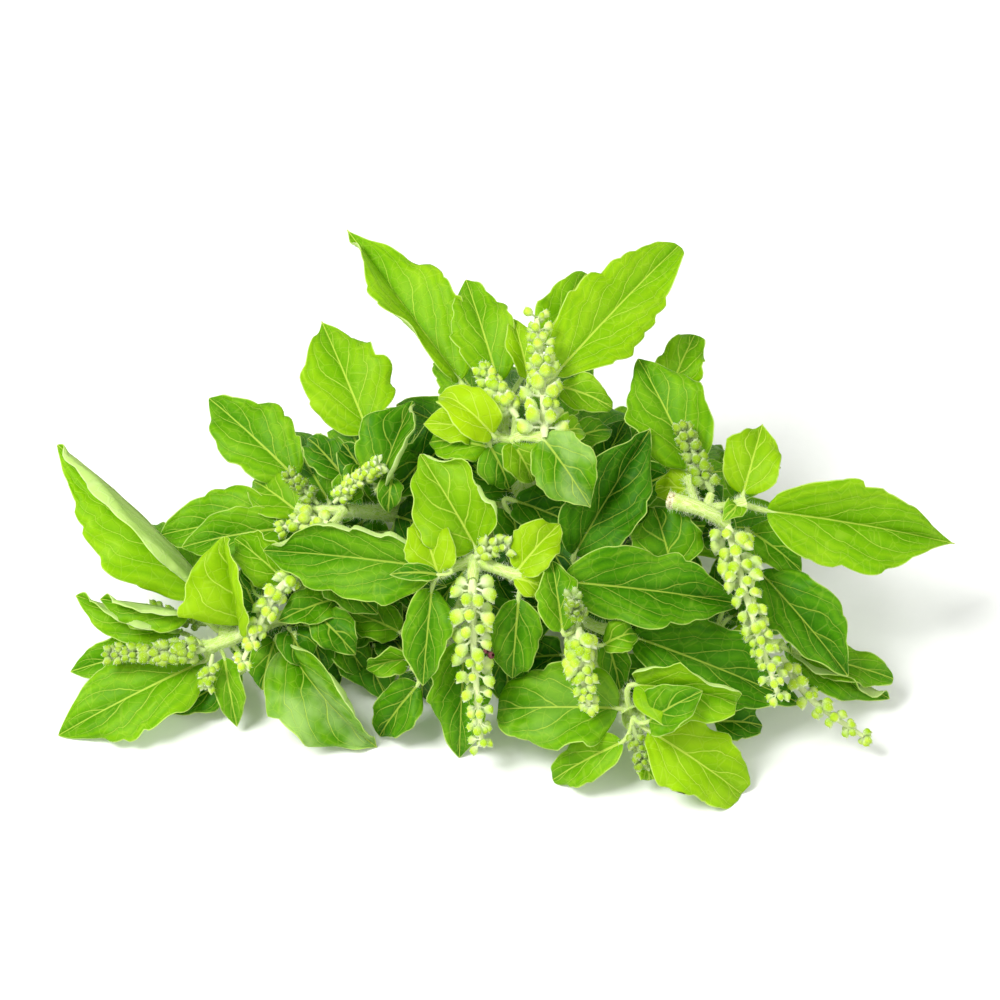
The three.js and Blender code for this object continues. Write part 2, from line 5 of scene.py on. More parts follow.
import bpy
import numpy as np
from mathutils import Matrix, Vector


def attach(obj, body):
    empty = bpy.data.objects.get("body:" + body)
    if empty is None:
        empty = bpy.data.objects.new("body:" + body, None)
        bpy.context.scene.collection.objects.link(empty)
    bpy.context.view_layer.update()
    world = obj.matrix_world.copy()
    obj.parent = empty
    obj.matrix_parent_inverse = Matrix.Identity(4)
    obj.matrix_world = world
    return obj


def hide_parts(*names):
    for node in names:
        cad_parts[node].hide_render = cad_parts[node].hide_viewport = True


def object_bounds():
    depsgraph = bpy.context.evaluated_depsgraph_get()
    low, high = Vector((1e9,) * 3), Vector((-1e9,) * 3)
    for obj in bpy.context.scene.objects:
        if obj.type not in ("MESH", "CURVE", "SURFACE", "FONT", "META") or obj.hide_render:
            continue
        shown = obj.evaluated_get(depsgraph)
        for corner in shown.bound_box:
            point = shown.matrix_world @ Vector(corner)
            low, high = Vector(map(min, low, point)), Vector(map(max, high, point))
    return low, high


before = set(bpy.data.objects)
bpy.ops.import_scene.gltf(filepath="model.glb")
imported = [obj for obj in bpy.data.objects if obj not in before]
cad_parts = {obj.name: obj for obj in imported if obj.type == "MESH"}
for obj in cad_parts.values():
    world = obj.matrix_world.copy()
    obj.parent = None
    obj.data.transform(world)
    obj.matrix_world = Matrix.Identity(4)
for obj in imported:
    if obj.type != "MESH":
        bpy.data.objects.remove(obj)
cad_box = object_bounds()

MM = 0.001
UV_PER_MM = 0.01

# The view: places are [right, up, height], where a point is seen from 45 degrees above the
# table, in mm, and how high above the table it is.
SIGHT_ELEVATION = math.radians(45)
SIGHT_DISTANCE = 900
SIGHT_CENTRE_UP = 37.8
HEAP_CENTRE = (1.1, 13.85)
LENS = 120
SENSOR = 36
NEAREST_SEEN = 0.01

# Leaf blades: sizes in mm, cupping in degrees, places as shares of the blade
BLADE_THICKNESS = 0.42
MARGIN_THICKNESS = 0.16
BLADE_WIDEST_AT = 0.38
BLADE_FULLNESS = 0.72
BLADE_POINTS_FROM = 0.45
BLADE_TIP_HALF_WIDTH = 0.12
BLADE_CUPPING = 9
FULL_FOLD_HALF_WIDTH = 4
ROLL_FROM = 0.66
ROW_GAP = 0.85
COLUMN_GAP = 0.8
LEAVES_FACE = (0, -0.5, 0.87)

# Teeth and broad lobes: gap and width in mm, the rest as shares of a tooth or of the blade
TOOTH_GAP = 7.2
TOOTH_RISE = 0.78
TOOTH_DROP = 0.22
TOOTH_DEPTH = 0.1
TEETH_FROM = (0.1, 0.28)
TEETH_FADE = (0.6, 0.95)
WIDTH_OF_FULL_TEETH = 22
TOOTH_SIZES = (0.1, 1.7)
MOST_TEETH = 40
LOBE_DEPTH = 0.07

# Waves of the blade and its edge: heights in mm, curl in degrees
EDGE_WAVES = 2.5
EDGE_CURL = 32
RUFFLES = 5.5
RUFFLE_HEIGHT = 0.3
BILLOW = 0.9
WIDTH_OF_FULL_CURL = 24

# Veins: places as shares of the blade, heights and widths in mm
VEIN_PAIRS = (2.6, 4.8)
LENGTH_PER_VEIN_PAIR = 20
VEIN_SLANT = 0.2
VEIN_CURL = 0.42
VEIN_STAGGER = 0.45
FIRST_VEIN_AT = 0.2
QUILT_HEIGHT = 0.3
MIDRIB_SUNK = 0.22
MIDRIB_RAISED = 0.6
SIDE_VEIN_RAISED = 0.12
SIDE_VEIN_WIDTH = 0.4
WIDTH_OF_FULL_RELIEF = 20

# Leaf stalks, in mm; the stalk runs on under the midrib for a share of the blade
PETIOLE_RADIUS = 0.75
PETIOLE_BEND = 0.4
PETIOLE_SIDES = 8
PETIOLE_RUNS_ON = 0.22
SHORTEST_PETIOLE = 3

# Stems, in mm
STEM_STEP = 2.2
STEM_SIDES = 12
STEM_SQUARENESS = 0.11
NODE_SWELLING = 0.22
NODE_LENGTH = 1.6
FIRST_SIDE_FROM = (0.31, 0.52, 0.79)

# Hairs, in mm and per square mm
HAIR_LENGTH = 1.7
SPIKE_HAIR_LENGTH = 0.7
HAIR_RADIUS = 0.045
STEM_HAIR_DENSITY = 2.4
SPIKE_HAIR_DENSITY = 1.6

# Flower spikes: lengths and radii in mm, cup sizes as shares of a full cup
CUP_LENGTH = 3.2
CUP_RADIUS = 1.4
SHORT_STALK = 0.9
LONG_STALK = 2.2
LONG_STALK_FROM = 5
SMALLEST_CUP = 0.72
CUP_TILT = math.radians(24)
CUPS_IN_WHORL = 6
CUP_SIDES = 8
CUP_SIZES = (0.72, 1.08)
LIP_LENGTH = 0.9
LIP_WIDTH = 0.25
SHAFT_RADIUS = (1.15, 0.6)
SHAFT_SIDES = 8
SHAFT_ROOT = 1.4
REACH_OF_FULL_SHAFT = 4
FIRST_WHORL_AT = 2

# Leaves added by a rule: lengths, scatter and stalks in mm, widths as shares of the length
INNER_LENGTHS = (15, 23)
INNER_WIDTHS = (0.55, 0.75)
INNER_SCATTER = 2
INNER_SLANT = 3
INNER_FOLDS = (0, 30)
# Leaves inside the heap get the deepest greens: painted shade where they lie in shadow
INNER_SHADED_TONES = (0, 0.22)
SHORTEST_INNER_STALK = 2.5
BACK_LENGTHS = (18, 27)
BACK_WIDTHS = (0.55, 0.7)
BACK_SCATTER = 3
BACK_SLANT = 0.3
BACK_TONES = (0.15, 0.5)
BACK_STALK = 3
BACK_SLOPE = (0, 0.9, -0.5)

# Colours, as the eye reads them on a screen, from 0 to 255
# Leaf greens by how deep or bright a leaf is; the deep ones are partly painted shade on leaves in shadow
LEAF_GREENS = [(0.0, (34, 94, 3)), (0.3, (76, 142, 5)), (0.6, (122, 180, 8)), (0.95, (162, 208, 12))]
YOUNG_LEAF = (190, 222, 10)
# Painted sheen: the pale colour of painted highlights on some leaves
PAINTED_LEAF_SHEEN = (196, 222, 150)
UPPER_VEIN = (226, 248, 96)
UPPER_MARGIN = (218, 240, 130)
UNDERSIDE = (230, 250, 158)
UNDER_VEIN = (240, 252, 200)
UNDER_MARGIN = (238, 250, 196)
STEM_GREENS = ((190, 224, 92), (236, 248, 176))
STEM_SPOT = (160, 206, 40)
CUT_END_COLOURS = ((150, 112, 66), (238, 244, 196))
CUP_GREENS = ((166, 208, 18), (204, 232, 70))
CUP_FOOT = (236, 248, 184)
RIPE_CUP = (106, 146, 12)
CUP_LIP = (250, 255, 226)
CUP_DOWN = (246, 253, 210)
HAIR_WHITES = ((236, 248, 200), (252, 255, 240))
FLORET_REDS = ((74, 30, 34), (140, 84, 88))
FLOOR_WHITES = ((246, 247, 245), (250, 251, 249))

# Seeds of the random draws
UNDERGROWTH_SEED = 7
FIRST_SPRIG_SEED = 100
SEEDS_PER_SPRIG = 10

# The studio: sizes and places in m, power in W
FLOOR_HALF_WIDTH = 6.0
FLOOR_DROP = 0.0002
SKY_COLOUR = (1.0, 1.0, 0.98, 1)
SKY_STRENGTH = 0.62
LAMPS = {"key": ((-0.5, -0.3, 0.9), 0.4, 12), "fill": ((0.8, -0.6, 0.7), 0.8, 4)}


def seen(place):
    """The point, in mm, that is seen at `right` and `up`, at `height` above the table."""
    right, up, height = place
    sin, cos = math.sin(SIGHT_ELEVATION), math.cos(SIGHT_ELEVATION)
    slope = (up - SIGHT_CENTRE_UP) * cos / SIGHT_DISTANCE
    nearness = (height - up * cos) / (sin - slope)
    scale = 1 - nearness / SIGHT_DISTANCE
    raised = SIGHT_CENTRE_UP + scale * (up - SIGHT_CENTRE_UP)
    back = raised * sin - nearness * cos
    return np.array([scale * right - HEAP_CENTRE[0], back - HEAP_CENTRE[1], height])


def grown_leaf(base, tip, wide, **shape):
    """One leaf: its blade's base and tip, its width, and how it bends, folds and is coloured.

    arch lifts the midrib's middle, bow bends it sideways, droop lowers the tip and wave ripples
    the edges (mm), left and right fold the halves
    up and roll_left and roll_right curl their edges (degrees). point is how slender the tip is,
    tone runs from 0, deep green, to 1, bright, partly the leaf's own green and partly painted shade
    on leaves that lie in shadow; gold is how yellow the leaf is and gloss how much pale painted
    sheen, a painted highlight, is mixed into its colour.
    """
    usual = {"arch": 2.5, "bow": 0, "left": 14, "right": 14, "wave": 0.7, "droop": 0,
             "roll_left": 0, "roll_right": 0, "point": 0.12, "tone": 0.5, "gold": 0.0, "gloss": 0.02}
    return {"base": base, "tip": tip, "wide": wide, **usual, **shape}


def leaf(base, tip, wide, **shape):
    """A leaf whose base and tip are given as they are seen."""
    return grown_leaf(seen(base), seen(tip), wide, **shape)


def stem(path, radius, cut=False):
    """One stem: its path, its radius at both ends and whether its first end is a dried cut."""
    return {"path": path, "radius": radius, "cut": cut}


def spike(path, reach, gap, ripe=0.0):
    """One flower spike: its path, how far its cups reach, the gap between whorls and how dark it is."""
    return {"path": path, "reach": reach, "gap": gap, "ripe": ripe}


SPRIGS = {
    "crown": {
        "stems": [
            stem([[8, 22, 3], [7, 40, 40], [4, 54, 69], [11.5, 54.5, 71]], (2.2, 1.4)),
            stem([[4, 53.5, 68], [-2, 54.5, 69]], (1.4, 1.1)),
            stem([[4, 54, 69], [4.2, 60.4, 74]], (1.1, 0.8)),
            stem([[2, 54, 68], [0.5, 62, 69.5]], (1.1, 0.9)),
        ],
        "leaves": [
            leaf([-10.8, 69.8, 70], [-41.3, 110.8, 84], 26, left=64, right=8, bow=-0.5, wave=0.3,
                 tone=0.7,
                 point=0.45),
            leaf([-0.5, 69.5, 72], [-9.2, 97.3, 81], 16.5, left=20, right=12, tone=0.62),
            leaf([7.6, 70.7, 74], [3.5, 86.7, 80], 10, left=40, tone=0.8, gold=0.2),
            leaf([11.3, 79.6, 66], [23.3, 99, 71], 12, tone=0.68, point=-0.25),
            leaf([14.9, 71.6, 74], [48.3, 106.5, 84], 22, left=22, right=10, tone=0.76, point=-0.2),
            leaf([16.2, 68.4, 72], [30.3, 62.6, 68], 9.5, right=8, tone=0.62, point=-0.25),
            leaf([-1.9, 55.2, 72], [-16.6, 67, 78], 14, arch=5, left=30, droop=4, tone=0.85, gold=0.6),
            leaf([-5.9, 56.5, 68], [-20.6, 58.3, 70], 11, right=30, tone=0.85, gold=0.5),
            leaf([-3.2, 52.1, 68], [-19, 53.3, 62], 12, tone=0.6),
            leaf([-2.7, 52.4, 69], [2.4, 41, 58], 13, left=6, tone=0.36),
            leaf([3.2, 53.5, 70], [8.9, 42.7, 60], 11, tone=0.4, gold=0.2),
            leaf([11.6, 54.5, 72], [24.4, 35.8, 60], 17, left=32, right=4, tone=0.42, gloss=0.45,
                 point=0.3),
            leaf([18.9, 54, 60], [30.2, 56.7, 58], 8, tone=0.35),
            leaf([4, 58, 64], [8, 73.5, 46], 15, tone=0.45),
            leaf([0, 57, 64], [-16, 77.8, 50], 16, tone=0.5),
            leaf([9, 57, 64], [24, 75, 48], 15, tone=0.45),
            leaf([4, 47, 44], [-28, 63.6, 30], 20, tone=0.35),
            leaf([-18, 51, 46], [-30, 38, 40], 13, tone=0.2),
            leaf([9, 47, 44], [38, 59.4, 26], 20, tone=0.35),
            leaf([6, 52, 46], [0, 74, 30], 18, tone=0.4),
            leaf([14, 55.4, 71], [22.4, 56.2, 66], 8, tone=0.6),
        ],
        "spikes": {
            "tall": spike([[12, 56, 73.5], [11.5, 70, 80], [10, 86.5, 85]], [6.2, 3], gap=3.7),
            "side": spike([[4, 61.2, 74.8], [0.4, 66, 77], [-4.6, 72.4, 79]], [3.6, 2.2], gap=2.6),
        },
    },
    "front": {
        "stems": [
            stem([[-7, 17, 3], [-7, 22, 26], [-7, 21.6, 50]], (2.1, 1.7)),
            stem([[-7, 21.6, 50], [-16.2, 18.4, 49]], (1.7, 1.1)),
            stem([[-7, 21.6, 50], [3, 18, 50], [9.5, 16.4, 49]], (1.7, 1)),
            stem([[-7, 21.6, 50], [-7.4, 16, 50.5]], (1.7, 1.2)),
            stem([[-6, 22, 40], [-13, 4, 27], [-24, -7, 22]], (1.5, 1.1)),
        ],
        "leaves": [
            leaf([-6.4, 24.6, 53], [-21.6, 50.2, 70], 22.5, left=10, right=22, roll_right=118,
                 tone=0.62, gold=0.1),
            leaf([-17, 19.3, 50], [-64, 24.2, 43], 23, right=40, left=6, roll_right=112, tone=0.42),
            leaf([-16.7, 17.6, 51], [-22, 33.4, 59], 13, tone=0.8, gold=0.35),
            leaf([-18.4, 13.8, 46], [-20.8, -12.3, 26], 13.5, left=20, right=20, tone=0.38),
            leaf([4.6, 18.6, 51], [16.2, 31.3, 57], 13, tone=0.8, gold=0.35),
            leaf([4, 16.7, 50], [12.7, 13, 45], 8, tone=0.8, gold=0.5),
            leaf([5, 11, 43], [3.3, -10.3, 23], 14, tone=0.36),
            leaf([-9.6, 0, 27], [-11, -31.8, 0], 17, left=30, right=10, tone=0.36),
            leaf([-22.1, -12, 17], [-32.5, -26, 0.8], 13, tone=0.28),
            leaf([-24.3, -5, 22], [-36, -7.8, 18], 9, right=70, tone=0.45),
            leaf([-4, 12, 34], [1, -5, 22], 14, tone=0.12),
            leaf([0, 1, 24], [3, -17, 9], 14, tone=0.15),
        ],
        "spikes": {
            "long": spike([[-7.4, 15, 50.6], [-7, -4, 34], [-5, -27, 13]], [6.3, 3.2], gap=4.2),
            "small": spike([[-5.6, 23, 53], [-2, 25, 55], [1.6, 25, 56]], [3.2, 2.2], gap=2.6, ripe=0.3),
        },
    },
    "middle": {
        "stems": [
            stem([[14, 15, 3], [18, 10, 22], [21, 3.6, 39.6]], (2, 1.3)),
            stem([[17, 12, 18], [24, 16, 34], [32, 24, 42]], (1.5, 1)),
            stem([[19, 8, 28], [30, 3, 30], [44, 14, 36]], (1.4, 1)),
        ],
        "leaves": [
            leaf([17, 15.7, 46], [65, 9.7, 36], 22, left=24, right=20, tone=0.3),
            leaf([20, 23, 43], [40.6, 57, 66], 24, left=46, right=18, tone=0.17, point=0.25),
            leaf([24.8, 40.5, 44], [34, 59.5, 53], 14, tone=0.2),
            leaf([16.8, 2.4, 42], [14, 21.4, 52], 12, left=24, tone=0.48),
            leaf([28, -1.4, 34], [36.8, 1.5, 34], 9, arch=4, tone=0.5),
            leaf([35.6, 1, 30], [81.3, -17.2, 11], 22, left=18, right=16, tone=0.24),
            leaf([46.4, 19, 40], [41.6, 35.8, 50], 21, left=10, right=10, tone=0.36),
            leaf([28.9, 0, 30], [32.4, -13.5, 18], 9, tone=0.35),
            leaf([4, 37.5, 44], [24, 29, 40], 15, tone=0.2),
            leaf([5, 24, 36], [3, 37, 40], 14, tone=0.25),
            leaf([12, 27, 36], [19, 15, 33], 13, tone=0.15),
        ],
        "spikes": {
            "front": spike([[21.4, 2, 40.6], [21.6, -7, 35.5], [24, -17.6, 26]], [4.4, 2.2],
                           gap=2.5, ripe=0.1),
            "dark": spike([[21, 4.8, 45], [19.8, 11, 53]], [2.8, 2], gap=2.2, ripe=0.9),
        },
    },
    "right": {
        "stems": [
            stem([[45.4, 37.8, 57], [52, 36.2, 57], [57.2, 34, 55], [61.4, 31, 51.5]], (2.1, 1.4),
                 cut=True),
            stem([[55.5, 35, 55.5], [57, 39.5, 57.5]], (1.3, 0.9)),
            stem([[54, 35.4, 55.6], [66, 36.6, 54]], (1.3, 1)),
            stem([[53, 36, 56.5], [50, 47, 51]], (1.2, 0.9)),
            stem([[58.5, 33, 54], [61.5, 29.4, 46], [67, 27, 41]], (1.2, 1)),
        ],
        "leaves": [
            leaf([52, 46.5, 56], [37.3, 76, 70], 22, left=14, right=12, tone=0.5),
            leaf([45.4, 66.5, 55], [52.6, 82.4, 62], 13.5, tone=0.6, point=-0.2),
            leaf([65.6, 39.4, 53], [70.9, 58.3, 61], 16.5, tone=0.74, gold=0.2, point=0.45),
            leaf([72, 34.9, 50], [122.8, 26, 36], 27, left=52, right=8, tone=0.66, point=0.55),
            leaf([70, 18.4, 36], [94, -9.8, 20], 20, left=10, right=34, tone=0.3),
            leaf([51.8, 40.4, 50], [41.9, 40.5, 47], 10, tone=0.8, gold=0.5),
            leaf([67, 29.6, 42], [81.4, 18.4, 35], 13, tone=0.4),
            leaf([64.3, 36, 53], [60, 31.9, 54], 6, tone=0.6),
            leaf([64, 38, 50], [70, 53.7, 36], 15, tone=0.4),
        ],
        "spikes": {
            "long": spike([[61.9, 29.8, 51.6], [67, 10, 42.5], [74.8, -14, 25]], [6, 3], gap=3.9),
            "buds": spike([[56.8, 41, 58.5], [53.5, 48, 62], [49.4, 57, 66.5]], [3.8, 2], gap=2.8,
                          ripe=0.75),
        },
    },
    "edge": {
        "stems": [
            stem([[34, 8, 4], [56, 2, 12], [76, -1.6, 20]], (1.7, 1.2)),
        ],
        "leaves": [
            leaf([81, -4, 20], [106.2, -10.5, 9], 11, tone=0.45, point=-0.25),
            leaf([77, -1.6, 20], [105.2, -15.9, 4], 15, left=120, right=8, tone=0.35),
            leaf([69, 0, 22], [62.9, 2.7, 24], 8, tone=0.8, gold=0.4),
            leaf([62, 6, 14], [78, 12, 5], 12, tone=0.3),
        ],
        "spikes": {
            "stray": spike([[76.6, -5.6, 24.6], [84, -16, 16.5], [98, -26, 8]], [3.6, 2.4],
                           gap=4.2, ripe=0.2),
        },
    },
    "low": {
        "stems": [
            stem([[17, 10, 1.2], [22, 3, 1.3], [29, -9, 13], [36, -21, 19]], (1.9, 1.4)),
        ],
        "leaves": [
            leaf([32, -18.5, 20], [-0.6, -18.8, 14], 24.5, left=10, right=10, tone=0.48, gloss=0.1,
                 point=-0.4),
            leaf([33, -27.6, 15], [14.3, -37.8, 0], 12.5, tone=0.6, point=-0.15),
            leaf([40, -24.4, 18], [65.2, -41.6, 0], 21, left=14, right=12, tone=0.84, gold=0.1,
                 point=-0.4),
            leaf([40, -22, 22], [54.7, -13.8, 31], 13, tone=0.42),
            leaf([36.4, -12, 27], [63.9, -17, 24], 21, bow=-0.5, left=62, right=10, roll_left=78,
                 wave=0.2,
                 tone=0.7, point=-0.35),
            leaf([58, -22, 8], [70.8, -23.2, 4], 11, tone=0.22),
            leaf([39.2, -32.4, 8], [40.2, -37.8, 3], 6, tone=0.7),
        ],
        "spikes": {
            "small": spike([[36.3, -24.4, 18.5], [38.4, -33, 12]], [2.6, 1.8], gap=2.2, ripe=0.7),
        },
    },
    "shoulder": {
        "stems": [
            stem([[-14, 24, 3], [-26, 33, 26], [-42, 35, 47]], (2, 1.5)),
            stem([[-26, 36, 28], [-32, 42, 46], [-35, 50, 51]], (1.4, 1)),
            stem([[-42, 35, 47], [-54, 35, 42]], (1.3, 1)),
            stem([[-42, 35, 47], [-45.6, 31, 47.6]], (1.3, 1)),
        ],
        "leaves": [
            leaf([-55, 43.6, 44], [-78.6, 65.3, 50], 19, left=10, right=10, tone=0.5),
            leaf([-60, 33, 38], [-91.8, 28.3, 30], 20, tone=0.55),
            leaf([-57.8, 30.2, 39], [-86, 25, 33], 15, tone=0.5),
            leaf([-54, 34, 42], [-66.7, 42.9, 40], 13, tone=0.6),
            leaf([-35.6, 56, 52], [-48.2, 86.1, 60], 24, left=12, right=10, tone=0.7, point=0.5),
            leaf([-32.4, 42, 54], [-23.6, 64.5, 66], 20, right=55, left=6, roll_right=95, tone=0.34),
            leaf([-41.9, 43.7, 48], [-51.8, 54.4, 48], 11, tone=0.25),
            leaf([-36, 43.2, 50], [-42.5, 53, 54], 10, tone=0.15),
            leaf([-41.9, 37.8, 47], [-37.3, 47.8, 53], 9, tone=0.4),
            leaf([-29.2, 43.7, 56], [-30.2, 34.3, 50], 7, tone=0.3),
            leaf([-46, 37, 42], [-58, 56, 30], 15, tone=0.4),
            leaf([-17, 17.6, 53], [-29.7, 17.6, 53], 5, tone=0.3),
        ],
        "spikes": {
            "upper": spike([[-44, 38, 49.6], [-39, 43, 55.5], [-33, 47.4, 62]], [2.6, 2], gap=2.2),
            "side": spike([[-46.4, 31, 46.6], [-52, 32.6, 45], [-59, 30, 42]], [4, 2.6], gap=3.4),
            "back": spike([[-50, 37.6, 46], [-56.2, 44, 50]], [2.8, 2], gap=2.2, ripe=0.8),
        },
    },
    "left": {
        "stems": [
            stem([[-12, 13, 1.2], [-23, 12, 1.3], [-38, 11, 14], [-54, 7.6, 22], [-79.7, -2.4,
                 18.5]], (2, 1.4)),
            stem([[-70, 1.5, 20], [-76, 2.4, 21]], (1.1, 0.9)),
        ],
        "leaves": [
            leaf([-78, 13, 25], [-119.6, 52.7, 50], 31, left=4, right=104, roll_right=72, bow=1.5,
                 tone=0.7),
            leaf([-70, 4, 25], [-74.5, 28, 45], 29, left=4, right=80, tone=0.78, gold=0.25),
            leaf([-86, 2, 17], [-114.6, 12, 24], 18, arch=1.5, right=106, left=4, roll_right=62,
                 wave=0.2, tone=0.6),
            leaf([-84, 7, 25], [-108, 11, 26], 14, right=106, left=4, roll_right=62, wave=0.2, tone=0.6),
            leaf([-92, -3, 11], [-116, -8.6, 6], 13, tone=0.5),
            leaf([-79.5, -5.6, 15], [-119.3, -25.8, 0], 24, left=12, right=-4, tone=0.56),
            leaf([-74.4, -5, 16], [-71, -23.4, 3], 9, left=30, tone=0.5),
            leaf([-70, -9, 9], [-88, -20, 0.6], 12, tone=0.22),
            leaf([-80, 14, 20], [-100, 31, 12], 16, tone=0.45),
            leaf([-73, 4, 17], [-62, -3, 10], 13, tone=0.3),
            leaf([-65, 3, 15], [-60, -12, 3], 13, tone=0.22),
            leaf([-72, 8, 16], [-66, 16, 12], 13, tone=0.2),
        ],
        "spikes": {
            "thick": spike([[-81, -2.8, 21.4], [-92, -3.4, 21.4], [-105, -4, 19.6]], [3.6, 2.6],
                           gap=2.1, ripe=0.55),
            "drooping": spike([[-77.8, -5.2, 20], [-79, -11.6, 15.5]], [2.6, 2], gap=2, ripe=0.3),
            "dark": spike([[-80.6, 4.4, 20], [-94, 8.4, 19]], [2.4, 1.8], gap=2.2, ripe=0.9),
        },
    },
    "lower": {
        "stems": [
            stem([[-10, 24, 5], [-34, 20, 24], [-54, 15.6, 37]], (1.9, 1.3)),
            stem([[-32, 20, 23], [-44, 9, 25], [-56, 0.5, 24]], (1.5, 1.1)),
        ],
        "leaves": [
            leaf([-58, 16, 36], [-71.6, 27.4, 40], 14, right=40, roll_right=50, tone=0.6),
            leaf([-57.3, -1.6, 22], [-33.2, -29, 0], 29, left=70, right=8, roll_left=60, bow=2,
                 point=0.35,
                 tone=0.46, gloss=0.5),
            leaf([-60.8, 0, 20], [-64.3, -13.5, 10], 11, tone=0.35),
            leaf([-52.7, 6.6, 25], [-47.3, -9.5, 9], 10, tone=0.3),
            leaf([-46, 4, 20], [-35.6, -9.7, 8], 12, tone=0.3),
            leaf([-27, 2, 22], [-42, 8, 24], 12, tone=0.42),
            leaf([-30, 14, 22], [-48, -4, 12], 16, tone=0.32),
            leaf([-66.6, 13.6, 34], [-68.6, 21.3, 38], 5, tone=0.1),
            leaf([-46, 18.5, 35], [-33, 7, 30], 13, tone=0.36),
            leaf([-49, 6.5, 29], [-39, -4, 24], 12, tone=0.3),
            leaf([-38, 19, 29], [-47, 29, 30], 13, tone=0.3),
            leaf([-57, 3, 25], [-52, -7, 18], 11, tone=0.24),
            leaf([-44, 11, 29], [-60, 5, 31], 12, tone=0.4),
        ],
        "spikes": {
            "pale": spike([[-55.4, 17, 39], [-61, 12, 37.4], [-69.4, -5.4, 27]], [4.2, 2.6], gap=4.2),
        },
    },
    "back": {
        "stems": [
            stem([[-2, 20, 1.3], [-1, 27, 1.5], [0, 36, 18], [2, 52, 30]], (2, 1.5)),
            stem([[0, 34.5, 15], [30, 39, 22]], (1.5, 1.1)),
            stem([[-0.4, 32.6, 11], [-28, 33, 11]], (1.5, 1.1)),
        ],
        "leaves": [
            leaf([-10, 46, 22], [-36, 61, 0], 22, tone=0.5),
            leaf([-30, 36.5, 13], [-70, 49, 0], 20, tone=0.4),
            leaf([5, 47, 26], [12, 60.8, 6], 14, tone=0.6),
            leaf([20, 45, 24], [46, 62, 4], 18, tone=0.45),
            leaf([30, 41, 20], [68, 46, 0], 17, tone=0.5),
            leaf([34, 31, 14], [90, 28.7, 1.5], 20, tone=0.35),
            leaf([-30, 29, 10], [-90, 26.5, 1.5], 20, tone=0.35),
        ],
        "spikes": {
            "hidden": spike([[1, 53.8, 31.6], [-10, 64, 30]], [4, 2.4], gap=3.2),
        },
    },
}


# Dark florets: where they are seen and their radius
FLORETS = [([-3.8, -3, 36.2], 0.8), ([-2.4, -4.1, 35.4], 1.0)]
FLORETS_ALONG = (0.5, -0.5, 0.6)

# Leaves inside the heap: how far up a row is seen, its height, its first and last place and count
UNDERGROWTH_ROWS = [
    (52, 46, -28, 46, 6), (40, 36, -44, 54, 8), (28, 30, -52, 60, 9), (16, 22, -56, 66, 10),
    (11, 18, -68, -26, 5), (4, 13, -58, 72, 11), (-2, 11, -66, -30, 5), (-8, 7, -50, 66, 9),
]

# Leaves at the back: how far back a row is, its height, its first and last place and count
BACK_ROWS = [(22, 40, -50, 55, 6), (32, 30, -55, 60, 7), (40, 20, -55, 62, 8), (44, 10, -50, 55, 7)]


def unit(vectors):
    return vectors / np.maximum(np.linalg.norm(vectors, axis=-1, keepdims=True), 1e-9)


def smoothstep(low, high, values):
    share = np.clip((values - low) / (high - low), 0, 1)
    return share * share * (3 - 2 * share)


def smooth_line(places, step):
    """Points about `step` mm apart on a smooth line through the given places."""
    knots = [seen(place) for place in places]
    line = []
    for i in range(len(knots) - 1):
        a, b = knots[i], knots[i + 1]
        before = knots[i - 1] if i > 0 else a
        after = knots[i + 2] if i + 2 < len(knots) else b
        out, into = (b - before) / 2, (after - a) / 2
        count = max(1, round(float(np.linalg.norm(b - a)) / step))
        for k in range(count):
            t = k / count
            line.append(a * (2 * t**3 - 3 * t**2 + 1) + out * (t**3 - 2 * t**2 + t)
                        + b * (3 * t**2 - 2 * t**3) + into * (t**3 - t**2))
    return np.array([*line, knots[-1]])


def directions(line):
    """The direction of travel at each point of a line."""
    steps = np.vstack([line[1] - line[0], line[2:] - line[:-2], line[-1] - line[-2]]) if len(line) > 2 \
        else np.array([line[1] - line[0]] * 2)
    return unit(steps)


def placed(name, data):
    """A new object in the scene, at the origin."""
    thing = bpy.data.objects.new(name, data)
    bpy.context.scene.collection.objects.link(thing)
    return thing


class Sheaf:
    """Points and faces gathered for one mesh, with their materials, UVs and attributes.

    On a blade, veins holds how far a point is along the row of side veins, their gap and the
    distance to the midrib; looks how deep or bright its green is, partly painted shade, how yellow it
    is and the distance to the margin; place how far along (0 to 1) and across it is (-1 to 1), and
    how much painted sheen it takes. Distances are in mm. On a
    flower cup, looks holds how ripe and how pale a point is and place how much it is cup, not stalk.
    """

    def __init__(self):
        self.points, self.faces, self.slots, self.uvs = [], [], [], []
        self.vectors = {"veins": [], "looks": [], "place": []}
        self.count = 0

    def add(self, points, faces, slots, uvs, **vectors):
        self.points.append(points)
        self.faces.append(faces + self.count)
        self.slots.append(slots)
        self.uvs.append(uvs)
        for name, values in self.vectors.items():
            values.append(vectors.get(name, np.zeros((len(points), 3))))
        self.count += len(points)

    def build(self, name, materials):
        """The mesh object, at the origin, in metres."""
        mesh = bpy.data.meshes.new(name)
        faces = np.vstack(self.faces)
        mesh.from_pydata((np.vstack(self.points) * MM).tolist(), [], faces.tolist())
        for material in materials:
            mesh.materials.append(material)
        mesh.polygons.foreach_set("material_index", np.concatenate(self.slots).astype(np.int32))
        mesh.polygons.foreach_set("use_smooth", np.ones(len(faces), bool))
        corners = np.empty(len(mesh.loops), np.int32)
        mesh.loops.foreach_get("vertex_index", corners)
        uv_layer = mesh.uv_layers.new(name="blade")
        uv_layer.uv.foreach_set("vector", np.vstack(self.uvs)[corners].astype(np.float32).ravel())
        for label, values in self.vectors.items():
            attribute = mesh.attributes.new(label, "FLOAT_VECTOR", "POINT")
            attribute.data.foreach_set("vector", np.vstack(values).astype(np.float32).ravel())
        mesh.validate()
        return placed(name, mesh)


